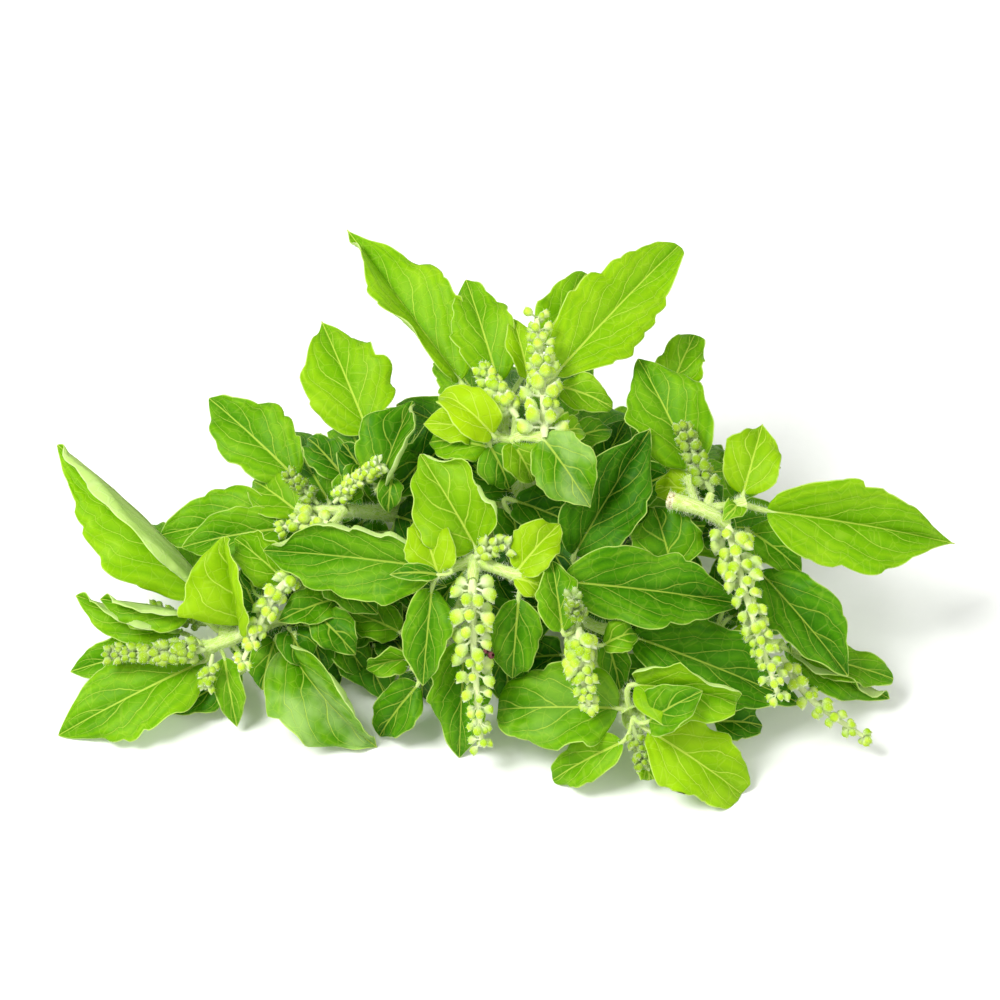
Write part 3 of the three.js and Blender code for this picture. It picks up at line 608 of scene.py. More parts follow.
def grid_faces(rows, columns, wrapped):
    """Quads of a grid of points; wrapped joins its last column to its first."""
    i, j = np.meshgrid(np.arange(rows - 1), np.arange(columns if wrapped else columns - 1), indexing="ij")
    a = i * columns + j
    b = i * columns + (j + 1) % columns
    return np.stack([a, b, b + columns, a + columns], axis=-1).reshape(-1, 4)


def tooth(phase):
    """A blunt tooth that rises slowly towards the leaf's tip and drops back fast."""
    part = phase % 1
    rise = np.sin(part / TOOTH_RISE * math.pi / 2)
    drop = np.cos((part - TOOTH_RISE) / TOOTH_DROP * math.pi / 2)
    return np.where(part < TOOTH_RISE, rise, drop)


def half_width(shape, s):
    """Half the blade's width, in mm, at s, from 0 at its base to 1 at its tip."""
    power = math.log(0.5) / math.log(BLADE_WIDEST_AT)
    fullness = BLADE_FULLNESS + shape["point"] * smoothstep(BLADE_POINTS_FROM, 1, s)
    return shape["wide"] / 2 * np.sin(math.pi * np.clip(s, 0, 1) ** power) ** fullness


def toothed(shape, s, length, random):
    """Half widths of the left and right halves, with teeth of many sizes and broad lobes."""
    plain = half_width(shape, s)
    depth = TOOTH_DEPTH * smoothstep(*TEETH_FROM, s) * (1 - 0.8 * smoothstep(*TEETH_FADE, s))
    halves = []
    for _ in range(2):
        size = 0.45 + 0.55 * min(1, shape["wide"] / WIDTH_OF_FULL_TEETH)
        gap = TOOTH_GAP * random.uniform(0.8, 1.25) * size
        drift = 0.3 * np.sin(2 * math.pi * (s * random.uniform(1, 1.6) + random.uniform(0, 1)))
        phase = s * length / gap + random.uniform(1, 2) + drift
        sizes = random.uniform(*TOOTH_SIZES, MOST_TEETH)
        cut = depth * (tooth(phase) * sizes[phase.astype(int)] - 0.5)
        sway = LOBE_DEPTH * np.sin(2 * math.pi * (s * random.uniform(1.1, 2.1) + random.uniform(0, 1)))
        least = PETIOLE_RADIUS * (1 - s) + BLADE_TIP_HALF_WIDTH * s
        halves.append(np.maximum(least, plain * (1 + cut + sway * np.sin(math.pi * s))))
    return halves


def blade_frame(shape):
    """The leaf's base, tip and directions: along its chord, out of its face and to its right."""
    base, tip = shape["base"], shape["tip"]
    along = unit(tip - base)
    face = np.array(LEAVES_FACE, float)
    face = unit(face - along * face.dot(along))
    return base, tip, along, face, np.cross(along, face)


def across_points(half, t, fold, roll):
    """Offsets of one half of the blade, to the side and up, row by row, at t from 0 to 1.

    fold is one angle for the whole half and roll is one for each row.
    """
    share = np.minimum(1, half / FULL_FOLD_HALF_WIDTH)[:, None]
    middles = (t[1:] + t[:-1]) / 2
    angle = math.radians(fold) + math.radians(BLADE_CUPPING) * (1 - 2 * middles)
    rolled = np.radians(roll)[:, None] * smoothstep(ROLL_FROM, 1, middles)[None, :]
    angle = (angle[None, :] + rolled) * share
    step = half[:, None] * np.diff(t)[None, :]
    zero = np.zeros((len(half), 1))
    out = np.hstack([zero, np.cumsum(step * np.cos(angle), axis=1)])
    up = np.hstack([zero, np.cumsum(step * np.sin(angle), axis=1)])
    return out, up


def side_vein_phase(s, t, pairs, spacing):
    """Where a point lies between side veins: it grows by `spacing` from one vein to the next."""
    inward = 0.05 * (1 - np.exp(-np.abs(t) / 0.08))
    origin = s - inward - VEIN_SLANT * np.abs(t) - VEIN_CURL * np.abs(t) ** 2.1
    return (np.sign(origin) * np.abs(origin) ** 0.9 * pairs + FIRST_VEIN_AT) * spacing


def blade_surface(shape, random):
    """The middle surface of a blade: a grid of points with what its shading needs."""
    base, tip, _, face, side = blade_frame(shape)
    length = float(np.linalg.norm(tip - base))
    rows = int(np.clip(length / ROW_GAP, 12, 66)) + 1
    columns = int(np.clip(shape["wide"] / 2 / COLUMN_GAP, 4, 17))
    u = np.linspace(0, 1, rows)
    s = 0.65 * u + 0.35 * (0.5 - 0.5 * np.cos(math.pi * u))
    t = np.sin(np.linspace(0, math.pi / 2, columns + 1)) * 0.45 + np.linspace(0, 1, columns + 1) * 0.55
    hump = 4 * s * (1 - s)
    centre = base + np.outer(s, tip - base)
    centre += np.outer(shape["arch"] * hump - shape["droop"] * smoothstep(0.6, 1, s) ** 2, face)
    centre += np.outer(shape["bow"] * hump, side)
    forward = directions(centre)
    sides = unit(side - forward * (forward @ side)[:, None])
    faces = np.cross(sides, forward)
    left, right = toothed(shape, s, length, random)
    curl = EDGE_CURL * min(1, shape["wide"] / WIDTH_OF_FULL_CURL)
    curls = [curl * np.sin(2 * math.pi * (random.uniform(0.8, 2.2) * s + random.uniform(0, 1)))
             for _ in range(2)]
    out_l, up_l = across_points(left, t, shape["left"], shape["roll_left"] + curls[0])
    out_r, up_r = across_points(right, t, shape["right"], shape["roll_right"] + curls[1])
    out = np.hstack([-out_l[:, :0:-1], out_r])
    up = np.hstack([up_l[:, :0:-1], up_r])
    signed = np.concatenate([-t[:0:-1], t])
    half = np.where(signed[None, :] < 0, left[:, None], right[:, None])
    points = centre[:, None] + out[..., None] * sides[:, None] + up[..., None] * faces[:, None]
    grown = np.minimum(1, half / FULL_FOLD_HALF_WIDTH)
    ripple = shape["wave"] * np.sin(2 * math.pi * EDGE_WAVES * s)[:, None] * signed * np.abs(signed)
    ruffles = RUFFLES * s[:, None] + random.uniform(0, 1) + 0.2 * signed
    ruffle = RUFFLE_HEIGHT * np.sin(2 * math.pi * ruffles) * signed**4
    swell = random.uniform(0.9, 2.1) * s[:, None] + random.uniform(0, 1) + 0.3 * signed
    billow = BILLOW * np.sin(2 * math.pi * swell) * np.abs(signed) ** 1.6
    return {"points": points, "s": s, "t": signed, "half": half, "length": length,
            "lift": (ripple + ruffle + billow) * grown}


def on_both_faces(*values):
    vectors = np.stack(values, axis=-1).reshape(-1, 3)
    return np.vstack([vectors, vectors])


def surface_normals(points):
    normals = np.cross(np.gradient(points, axis=1), np.gradient(points, axis=0))
    return unit(normals)


def add_blade(sheaf, shape, random):
    """One leaf blade: upper face, underside and margin, with raised cells between sunken veins."""
    grid = blade_surface(shape, random)
    points, s, t, half = grid["points"], grid["s"], grid["t"], grid["half"]
    rows, columns = points.shape[:2]
    normals = surface_normals(points)
    s_grid, t_grid = np.meshgrid(s, t, indexing="ij")
    pairs = float(np.clip(2 + grid["length"] / LENGTH_PER_VEIN_PAIR, *VEIN_PAIRS))
    spacing = grid["length"] / pairs
    phase = side_vein_phase(s_grid, t_grid, pairs, spacing)
    staggered = phase + (t_grid > 0) * VEIN_STAGGER * spacing
    vein_distance = np.abs(staggered % spacing - spacing / 2)
    midrib_distance = np.abs(t_grid) * half
    size = min(1, shape["wide"] / WIDTH_OF_FULL_RELIEF)
    cell = np.minimum(1, vein_distance / (spacing * 0.36)) ** 0.8 * np.minimum(1, midrib_distance / 2.2)
    quilt = QUILT_HEIGHT * size * cell * (1 - np.abs(t_grid) ** 5) * smoothstep(0, 0.12, s_grid)
    middle = points + normals * (grid["lift"] + quilt)[..., None]
    normals = surface_normals(middle)
    midrib = np.exp(-(midrib_distance / (0.75 - 0.45 * s_grid)) ** 2)
    thick = MARGIN_THICKNESS + (BLADE_THICKNESS - MARGIN_THICKNESS) * (1 - np.abs(t_grid) ** 6)
    sunk = MIDRIB_SUNK * midrib * size
    raised = MIDRIB_RAISED * midrib * (1 - 0.8 * s_grid) * size
    raised = raised + SIDE_VEIN_RAISED * np.exp(-(vein_distance / SIDE_VEIN_WIDTH) ** 2)
    upper = middle + normals * (thick / 2 - sunk)[..., None]
    lower = middle - normals * (thick / 2 + raised * (1 - np.abs(t_grid) ** 4))[..., None]
    count = rows * columns
    top = grid_faces(rows, columns, False)
    bottom = top[:, ::-1] + count
    ring = np.concatenate([np.arange(columns), (np.arange(1, rows) + 1) * columns - 1,
                           (rows - 1) * columns + np.arange(columns - 2, -1, -1),
                           np.arange(rows - 2, 0, -1) * columns])
    after = np.roll(ring, -1)
    margin = np.stack([after, ring, ring + count, after + count], axis=-1)
    faces = np.vstack([top, bottom, margin])
    slots = np.concatenate([np.zeros(len(top)), np.ones(len(bottom)), np.zeros(len(margin))])
    flat = np.stack([s_grid * grid["length"], t_grid * half], axis=-1).reshape(-1, 2) * UV_PER_MM
    uvs = flat + random.uniform(0, 3, 2)
    rim = np.minimum(half * (1 - np.abs(t_grid)), (1 - s_grid) * grid["length"])
    even = np.ones_like(phase)
    # How deep or bright the leaf's green is: partly its own colour, partly painted shade where it lies in
    # shadow
    tone = shape["tone"] + random.uniform(-0.03, 0.03)
    sheaf.add(np.vstack([upper.reshape(-1, 3), lower.reshape(-1, 3)]), faces, slots, np.vstack([uvs, uvs]),
              veins=on_both_faces(phase, spacing * even, midrib_distance),
              looks=on_both_faces(tone * even, shape["gold"] * even, rim),
              place=on_both_faces(s_grid, t_grid, shape["gloss"] * even))


def add_tube(sheaf, line, radii, sides, squareness, look, slot=0, end_slot=None):
    """A closed tube along a line; squareness pushes out its four corners."""
    along = directions(line)
    side = unit(np.cross(np.array(FIRST_SIDE_FROM), along[0]))
    rings = []
    angles = 2 * math.pi * np.arange(sides) / sides
    bulge = 1 + squareness * np.cos(4 * angles)
    for centre, way, radius in zip(line, along, radii):
        side = unit(side - way * side.dot(way))
        other = np.cross(way, side)
        rings.append(centre + radius * bulge[:, None] * (np.cos(angles)[:, None] * side
                                                         + np.sin(angles)[:, None] * other))
    rows = len(line)
    ends = [line[0] - along[0] * 0.15 * radii[0], line[-1] + along[-1] * 0.3 * radii[-1]]
    points = np.vstack([*rings, *ends])
    walls = grid_faces(rows, sides, True)
    first, last = rows * sides, rows * sides + 1
    k = np.arange(sides)
    top = (rows - 1) * sides
    following = (k + 1) % sides
    start, finish = np.full(sides, first), np.full(sides, last)
    caps = np.vstack([np.stack([following, k, start, start], axis=-1),
                      np.stack([top + k, top + following, finish, finish], axis=-1)])
    end_slot = slot if end_slot is None else end_slot
    slots = np.full(len(walls) + len(caps), slot)
    slots[:sides] = end_slot
    slots[len(walls):len(walls) + sides] = end_slot
    run = np.concatenate([[0], np.cumsum(np.linalg.norm(np.diff(line, axis=0), axis=1))])
    around = np.arange(sides) / sides * 6
    uvs = np.stack([np.repeat(run, sides), np.tile(around, rows)], axis=-1) * UV_PER_MM
    uvs = np.vstack([uvs, uvs[:1], uvs[-1:]])
    looks = np.tile(look, (len(points), 1))
    sheaf.add(points, np.vstack([walls, caps]), slots, uvs, looks=looks)


def nearest_point(points, place):
    return points[np.argmin(np.linalg.norm(points - place, axis=1))]


def add_petiole(sheaf, shape, stem_points):
    """The leaf's stalk, which runs on along the underside of the midrib and thins out."""
    base, tip, along, face, _ = blade_frame(shape)
    root = nearest_point(stem_points, base)
    bend = base - along * PETIOLE_BEND * np.linalg.norm(root - base)
    reach = max(SHORTEST_PETIOLE, float(np.linalg.norm(root - base)))
    t = np.linspace(0, 1, max(5, int(reach / 1.5)))[:, None]
    stalk = root * (1 - t) ** 2 + bend * 2 * t * (1 - t) + base * t**2
    s = np.linspace(0, PETIOLE_RUNS_ON, 5)[1:, None]
    rib = base + (tip - base) * s + face * (shape["arch"] * 4 * s * (1 - s) - 0.5)
    line = np.vstack([stalk, rib])
    size = PETIOLE_RADIUS * min(1, 0.45 + shape["wide"] / 32)
    radii = np.concatenate([np.linspace(1.15, 0.95, len(stalk)), np.linspace(0.8, 0.25, len(rib))]) * size
    add_tube(sheaf, line, radii, PETIOLE_SIDES, 0.03, (0.75, 0.2, 0))


def stem_radii(line, radius, nodes):
    """Radii along a stem, swollen where leaves grow from it."""
    share = np.linspace(0, 1, len(line))
    radii = radius[0] + (radius[1] - radius[0]) * share
    for node in nodes:
        distance = np.linalg.norm(line - node, axis=1)
        radii = radii * (1 + NODE_SWELLING * np.exp(-(distance / NODE_LENGTH) ** 2))
    return radii


def add_stems(sheaf, sprig):
    """The stems of a sprig and the stalks of its leaves."""
    stem_points = np.vstack([smooth_line(one["path"], 1) for one in sprig["stems"]])
    nodes = [nearest_point(stem_points, shape["base"]) for shape in sprig["leaves"]]
    for one in sprig["stems"]:
        line = smooth_line(one["path"], STEM_STEP)
        end_slot = 1 if one["cut"] else None
        add_tube(sheaf, line, stem_radii(line, one["radius"], nodes), STEM_SIDES, STEM_SQUARENESS,
                 (0.7, 0, 0), 0, end_slot)
    for shape in sprig["leaves"]:
        add_petiole(sheaf, shape, stem_points)


def node_in(tree, kind, inputs=None, **settings):
    """A new node with its settings, its inputs set to values or linked to sockets."""
    node = tree.nodes.new(kind)
    for name, value in settings.items():
        setattr(node, name, value)
    for name, value in (inputs or {}).items():
        if isinstance(value, bpy.types.NodeSocket):
            tree.links.new(value, node.inputs[name])
        else:
            node.inputs[name].default_value = value
    return node


def maths(tree, operation, *values):
    return node_in(tree, "ShaderNodeMath", dict(enumerate(values)), operation=operation).outputs[0]


def blended(tree, share, low, high):
    """The colour `low` where share is 0 and `high` where it is 1."""
    return node_in(tree, "ShaderNodeMix", {0: share, 6: low, 7: high}, data_type="RGBA").outputs[2]


def between(tree, value, low, high, to_low=0.0, to_high=1.0):
    inputs = {"Value": value, "From Min": low, "From Max": high, "To Min": to_low, "To Max": to_high}
    return node_in(tree, "ShaderNodeMapRange", inputs, interpolation_type="SMOOTHSTEP").outputs[0]


def display(red, green, blue):
    """A colour as the eye reads it on a screen, from 0 to 255, as the shader takes it."""
    channels = [value / 255 for value in (red, green, blue)]
    return (*[c / 12.92 if c <= 0.04045 else ((c + 0.055) / 1.055) ** 2.4 for c in channels], 1)


def displayed(colours):
    return [display(*colour) for colour in colours]


def noise(tree, where, scale, detail):
    inputs = {"Vector": where, "Scale": scale, "Detail": detail}
    return node_in(tree, "ShaderNodeTexNoise", inputs).outputs[0]


def object_place(tree):
    return node_in(tree, "ShaderNodeTexCoord").outputs["Object"]


def blade_uv(tree):
    return node_in(tree, "ShaderNodeUVMap", uv_map="blade").outputs[0]


def around_zero(tree, value):
    """A noise that runs from 0 to 1, moved to lie around 0."""
    return maths(tree, "SUBTRACT", value, 0.5)


def attribute(tree, name):
    """The three values that a mesh keeps under that name."""
    node = node_in(tree, "ShaderNodeAttribute", attribute_name=name)
    return node_in(tree, "ShaderNodeSeparateXYZ", {0: node.outputs["Vector"]}).outputs


def tone_ramp(tree, tone):
    """Leaf greens from the deepest to the brightest."""
    ramp = node_in(tree, "ShaderNodeValToRGB", {0: tone})
    for place, _ in LEAF_GREENS[2:]:
        ramp.color_ramp.elements.new(place)
    for element, (place, colour) in zip(ramp.color_ramp.elements, LEAF_GREENS):
        element.position = place
        element.color = display(*colour)
    return ramp.outputs[0]


def vein_lines(tree):
    """Masks of the midrib, the side veins and the fine net, and how far a point lies from the veins and the
    midrib, which sets painted shade along them.
    """
    phase, gap, across = attribute(tree, "veins")
    s, t, _ = attribute(tree, "place")
    on_right = maths(tree, "GREATER_THAN", t, 0.0)
    stagger = maths(tree, "MULTIPLY", on_right, maths(tree, "MULTIPLY", gap, VEIN_STAGGER))
    phase = maths(tree, "ADD", phase, stagger)
    t = maths(tree, "ABSOLUTE", t)
    uv = blade_uv(tree)
    wobble = noise(tree, uv, scale=28, detail=1)
    phase = maths(tree, "ADD", phase, maths(tree, "MULTIPLY", around_zero(tree, wobble), 1.5))
    half_gap = maths(tree, "MULTIPLY", gap, 0.5)
    place = maths(tree, "FLOORED_MODULO", phase, gap)
    distance = maths(tree, "ABSOLUTE", maths(tree, "SUBTRACT", place, half_gap))
    rib_width = maths(tree, "MULTIPLY_ADD", s, -0.3, 0.43)
    midrib = between(tree, maths(tree, "DIVIDE", across, rib_width), 0.7, 1.3, 1, 0)
    width = maths(tree, "MULTIPLY_ADD", t, -0.1, 0.3)
    side = between(tree, maths(tree, "DIVIDE", distance, width), 0.5, 1.5, 1, 0)
    side = maths(tree, "MULTIPLY", side, between(tree, t, 0.7, 0.98, 1, 0))
    side = maths(tree, "MULTIPLY", side, maths(tree, "GREATER_THAN", phase, 0.0))
    net = node_in(tree, "ShaderNodeTexVoronoi", {"Vector": uv, "Scale": 30}, feature="DISTANCE_TO_EDGE")
    net = between(tree, net.outputs[0], 0.01, 0.055, 1, 0)
    cell = maths(tree, "DIVIDE", distance, half_gap)
    cell = maths(tree, "MINIMUM", cell, maths(tree, "DIVIDE", across, 4.0))
    return midrib, side, net, maths(tree, "MINIMUM", cell, 1.0), uv


def joined_veins(tree, midrib, side, net, side_share, net_share):
    """One mask of the midrib, the side veins and the net, the last two fainter."""
    veins = maths(tree, "MAXIMUM", midrib, maths(tree, "MULTIPLY", side, side_share))
    return maths(tree, "MAXIMUM", veins, maths(tree, "MULTIPLY", net, net_share))


def vein_relief(tree, midrib, side, net, grain, vein_height, net_height):
    """The height for the bump: veins and net, sunken where negative, and the grain."""
    fine = maths(tree, "MULTIPLY_ADD", net, net_height, maths(tree, "MULTIPLY", grain, 0.3))
    return maths(tree, "MULTIPLY_ADD", maths(tree, "MAXIMUM", midrib, side), vein_height, fine)


def leaf_shader(tree, colour, roughness, height, relief, through=0.4, shine=0.1):
    """Thin leaf tissue: a soft shine in front, and light that comes through from behind."""
    bump = node_in(tree, "ShaderNodeBump", {"Strength": relief, "Distance": 0.0004, "Height": height})
    front = node_in(tree, "ShaderNodeBsdfPrincipled",
                    {"Base Color": colour, "Roughness": roughness, "Normal": bump.outputs[0],
                     "Specular IOR Level": shine})
    bright = node_in(tree, "ShaderNodeGamma", {"Color": colour, "Gamma": 0.85})
    back = node_in(tree, "ShaderNodeBsdfTranslucent",
                   {"Color": bright.outputs[0], "Normal": bump.outputs[0]})
    mix = node_in(tree, "ShaderNodeMixShader", {0: through, 1: front.outputs[0], 2: back.outputs[0]})
    node_in(tree, "ShaderNodeOutputMaterial", {"Surface": mix.outputs[0]})


def new_material(name):
    """A material with an empty node tree, and that tree."""
    material = bpy.data.materials.new(name)
    material.use_nodes = True
    material.node_tree.nodes.clear()
    return material, material.node_tree


def leaf_upper_material():
    """The upper side: bright or deep green with pale veins and a thin pale margin."""
    material, tree = new_material("leaf_upper_side")
    tone, gold, rim = attribute(tree, "looks")
    s, t, gloss = attribute(tree, "place")
    t = maths(tree, "ABSOLUTE", t)
    midrib, side, net, cell, uv = vein_lines(tree)
    patches = noise(tree, uv, scale=9, detail=3)
    grain = noise(tree, uv, scale=160, detail=2)
    shade = tone
    for value, share in ((patches, 0.5), (grain, 0.16)):
        shade = maths(tree, "MULTIPLY_ADD", around_zero(tree, value), share, shade)
    # The green darkens along the sunken veins and the midrib, painted shade in their creases; it also grows
    # brighter towards the edge and darker towards the tip
    for value, share, offset in ((cell, 0.18, -0.1), (t, 0.16, -0.07), (s, -0.14, 0.07)):
        shade = maths(tree, "MULTIPLY_ADD", value, share, maths(tree, "ADD", shade, offset))
    green = blended(tree, gold, tone_ramp(tree, shade), display(*YOUNG_LEAF))
    # Painted sheen: pale patches, a painted highlight, mixed into the green by each leaf's share of it
    painted_sheen = maths(tree, "MULTIPLY", between(tree, patches, 0.4, 0.66), gloss)
    green = blended(tree, painted_sheen, green, display(*PAINTED_LEAF_SHEEN))
    vein_share = maths(tree, "MULTIPLY_ADD", tone, 0.45, 0.38)
    vein_colour = blended(tree, vein_share, green, display(*UPPER_VEIN))
    colour = blended(tree, joined_veins(tree, midrib, side, net, 0.85, 0.17), green, vein_colour)
    colour = blended(tree, between(tree, rim, 0.08, 0.34, 0.8, 0), colour, display(*UPPER_MARGIN))
    height = vein_relief(tree, midrib, side, net, grain, -0.8, -0.25)
    roughness = maths(tree, "MULTIPLY_ADD", patches, 0.2, 0.34)
    leaf_shader(tree, colour, roughness, height, 0.5)
    return material


def leaf_under_material():
    """The underside: pale, dull green with raised veins."""
    material, tree = new_material("leaf_underside")
    tone, _, rim = attribute(tree, "looks")
    midrib, side, net, _, uv = vein_lines(tree)
    grain = noise(tree, uv, scale=130, detail=3)
    shade = maths(tree, "MULTIPLY_ADD", around_zero(tree, grain), 0.3, tone)
    green = blended(tree, 0.82, tone_ramp(tree, shade), display(*UNDERSIDE))
    veins = maths(tree, "MULTIPLY", joined_veins(tree, midrib, side, net, 0.8, 0.3), 0.7)
    colour = blended(tree, veins, green, display(*UNDER_VEIN))
    colour = blended(tree, between(tree, rim, 0.1, 0.4, 0.7, 0), colour, display(*UNDER_MARGIN))
    height = vein_relief(tree, midrib, side, net, grain, 0.8, 0.35)
    leaf_shader(tree, colour, 0.68, height, 0.6, 0.5, 0.05)
    return material


def stem_material():
    """Pale green stems with faint long streaks."""
    material, tree = new_material("stem_skin")
    uv = blade_uv(tree)
    stretch = node_in(tree, "ShaderNodeMapping", {"Vector": uv, "Scale": (8, 90, 1)}).outputs[0]
    streaks = noise(tree, stretch, scale=6, detail=3)
    spots = noise(tree, uv, scale=30, detail=2)
    colour = blended(tree, between(tree, streaks, 0.3, 0.7), *displayed(STEM_GREENS))
    colour = blended(tree, between(tree, spots, 0.5, 0.8, 0, 0.4), colour, display(*STEM_SPOT))
    leaf_shader(tree, colour, 0.55, streaks, 0.5, 0.2)
    return material


def cut_end_material():
    """The dried brown end of a cut stem."""
    material, tree = new_material("cut_stem_end")
    place = object_place(tree)
    rings = noise(tree, place, scale=1500, detail=3)
    colour = blended(tree, between(tree, rings, 0.3, 0.6), *displayed(CUT_END_COLOURS))
    leaf_shader(tree, colour, 0.8, rings, 0.5, 0.05)
    return material


def spike_material():
    """Flower spikes: yellow-green cups with whitish rims on a pale shaft, darker where ripe."""
    material, tree = new_material("flower_spike_skin")
    shell, _, _ = attribute(tree, "place")
    ripe, rim, _ = attribute(tree, "looks")
    place = object_place(tree)
    grain = noise(tree, place, scale=1400, detail=3)
    patches = noise(tree, place, scale=260, detail=2)
    cup = blended(tree, between(tree, patches, 0.3, 0.7), *displayed(CUP_GREENS))
    colour = blended(tree, shell, display(*CUP_FOOT), cup)
    colour = blended(tree, maths(tree, "MULTIPLY", ripe, 0.85), colour, display(*RIPE_CUP))
    paleness = maths(tree, "MULTIPLY_ADD", ripe, -0.6, 0.9)
    edge = maths(tree, "MULTIPLY", between(tree, rim, 0.0, 0.8), paleness)
    colour = blended(tree, edge, colour, display(*CUP_LIP))
    colour = blended(tree, between(tree, grain, 0.5, 0.8, 0, 0.2), colour, display(*CUP_DOWN))
    leaf_shader(tree, colour, 0.6, grain, 0.5, 0.2)
    return material


def hair_material():
    """The whitish hairs of stems and spikes."""
    material, tree = new_material("fine_white_hairs")
    place = object_place(tree)
    grain = noise(tree, place, scale=900, detail=1)
    colour = blended(tree, grain, *displayed(HAIR_WHITES))
    leaf_shader(tree, colour, 0.5, grain, 0.1, 0.3)
    return material


def floret_material():
    """The dark, withered florets."""
    material, tree = new_material("floret_skin")
    place = object_place(tree)
    grain = noise(tree, place, scale=2500, detail=2)
    colour = blended(tree, grain, *displayed(FLORET_REDS))
    leaf_shader(tree, colour, 0.5, grain, 0.3, 0.1)
    return material


def new_tree(name, sockets):
    """A Geometry Nodes tree, the sockets of what it is given and those of what it puts out."""
    tree = bpy.data.node_groups.new(name, "GeometryNodeTree")
    tree.interface.new_socket("Geometry", in_out="OUTPUT", socket_type="NodeSocketGeometry")
    tree.interface.new_socket("Geometry", in_out="INPUT", socket_type="NodeSocketGeometry")
    for label, kind in sockets:
        tree.interface.new_socket(label, in_out="INPUT", socket_type="NodeSocket" + kind)
    return tree, tree.nodes.new("NodeGroupInput").outputs, tree.nodes.new("NodeGroupOutput").inputs


def grow(source, tree, name, values):
    """Runs a tree on an object and keeps the result as a plain mesh object of that name."""
    modifier = source.modifiers.new("grow", "NODES")
    modifier.node_group = tree
    for item in tree.interface.items_tree:
        if item.in_out == "INPUT" and item.name in values:
            modifier[item.identifier] = values[item.name]
    graph = bpy.context.evaluated_depsgraph_get()
    mesh = bpy.data.meshes.new_from_object(source.evaluated_get(graph))
    mesh.name = name
    source.modifiers.remove(modifier)
    return placed(name, mesh)


def random_between(tree, low, high, seed, offset):
    """A random number for each element."""
    own_seed = node_in(tree, "FunctionNodeIntegerMath", {0: seed, 1: offset}, operation="ADD").outputs[0]
    inputs = {2: low, 3: high, 8: own_seed}
    return node_in(tree, "FunctionNodeRandomValue", inputs, data_type="FLOAT").outputs[1]


def turned(tree, rotation, x=0.0, y=0.0, z=0.0):
    """A rotation followed by a turn about its own axes."""
    angles = node_in(tree, "ShaderNodeCombineXYZ", {0: x, 1: y, 2: z}).outputs[0]
    turn = node_in(tree, "FunctionNodeEulerToRotation", {0: angles}).outputs[0]
    inputs = {0: rotation, 1: turn}
    return node_in(tree, "FunctionNodeRotateRotation", inputs, rotation_space="LOCAL").outputs[0]


def finish_tree(tree, geometry, material, result):
    """Makes real geometry of the instances, sets its material and puts it out."""
    real = node_in(tree, "GeometryNodeRealizeInstances", {0: geometry}).outputs[0]
    done = node_in(tree, "GeometryNodeSetMaterial", {"Geometry": real, "Material": material}).outputs[0]
    tree.links.new(done, result[0])


def whorls_tree():
    """Whorls of cups along a path, each whorl turned from the last, on a shaft."""
    tree, given, result = new_tree("whorls_of_cups", [
        ("Cup", "Object"), ("Shaft", "Object"), ("Gap", "Float"), ("Cups", "Int"), ("Base Size", "Float"),
        ("Tip Size", "Float"), ("Tilt", "Float"), ("Seed", "Int"), ("Material", "Material")])
    curve = node_in(tree, "GeometryNodeMeshToCurve", {0: given["Geometry"]}).outputs[0]
    points = node_in(tree, "GeometryNodeCurveToPoints",
                     {"Curve": curve, "Length": given["Gap"]}, mode="LENGTH")
    index = node_in(tree, "GeometryNodeInputIndex").outputs[0]
    kept = node_in(tree, "GeometryNodeStoreNamedAttribute",
                   {"Geometry": points.outputs["Points"], "Name": "whorl", "Value": index},
                   data_type="FLOAT", domain="POINT").outputs[0]
    count = node_in(tree, "GeometryNodeAttributeDomainSize", {0: points.outputs["Points"]},
                    component="POINTCLOUD").outputs["Point Count"]
    copies = node_in(tree, "GeometryNodeDuplicateElements", {"Geometry": kept, "Amount": given["Cups"]},
                     domain="POINT")
    whorl = node_in(tree, "GeometryNodeInputNamedAttribute", {"Name": "whorl"},
                    data_type="FLOAT").outputs[0]
    slip = random_between(tree, -0.0007, 0.0007, given["Seed"], 4)
    slip = node_in(tree, "ShaderNodeVectorMath", {0: points.outputs["Tangent"], 3: slip},
                   operation="SCALE").outputs[0]
    moved = node_in(tree, "GeometryNodeSetPosition",
                    {"Geometry": copies.outputs["Geometry"], "Offset": slip}).outputs[0]
    slot_angle = maths(tree, "DIVIDE", math.tau, given["Cups"])
    angle = maths(tree, "MULTIPLY", slot_angle, copies.outputs["Duplicate Index"])
    whorl_turn = maths(tree, "MULTIPLY", maths(tree, "MULTIPLY", whorl, 0.5), slot_angle)
    angle = maths(tree, "ADD", angle, whorl_turn)
    angle = maths(tree, "ADD", angle, random_between(tree, -0.3, 0.3, given["Seed"], 1))
    tilt = maths(tree, "ADD", given["Tilt"], random_between(tree, -0.45, 0.35, given["Seed"], 2))
    rotation = turned(tree, points.outputs["Rotation"], z=angle)
    rotation = turned(tree, rotation, y=maths(tree, "MULTIPLY", tilt, -1.0))
    part = maths(tree, "DIVIDE", whorl, maths(tree, "MAXIMUM", maths(tree, "SUBTRACT", count, 1.0), 1.0))
    size = between(tree, part, 0, 1, given["Base Size"], given["Tip Size"])
    size = maths(tree, "MULTIPLY", size, random_between(tree, *CUP_SIZES, given["Seed"], 3))
    cup = node_in(tree, "GeometryNodeObjectInfo", {0: given["Cup"], 1: True}).outputs["Geometry"]
    cups = node_in(tree, "GeometryNodeInstanceOnPoints",
                   {"Points": moved, "Instance": cup, "Rotation": rotation, "Scale": size}).outputs[0]
    shaft = node_in(tree, "GeometryNodeObjectInfo", {0: given["Shaft"]}).outputs["Geometry"]
    join = tree.nodes.new("GeometryNodeJoinGeometry")
    tree.links.new(cups, join.inputs[0])
    tree.links.new(shaft, join.inputs[0])
    finish_tree(tree, join.outputs[0], given["Material"], result)
    return tree


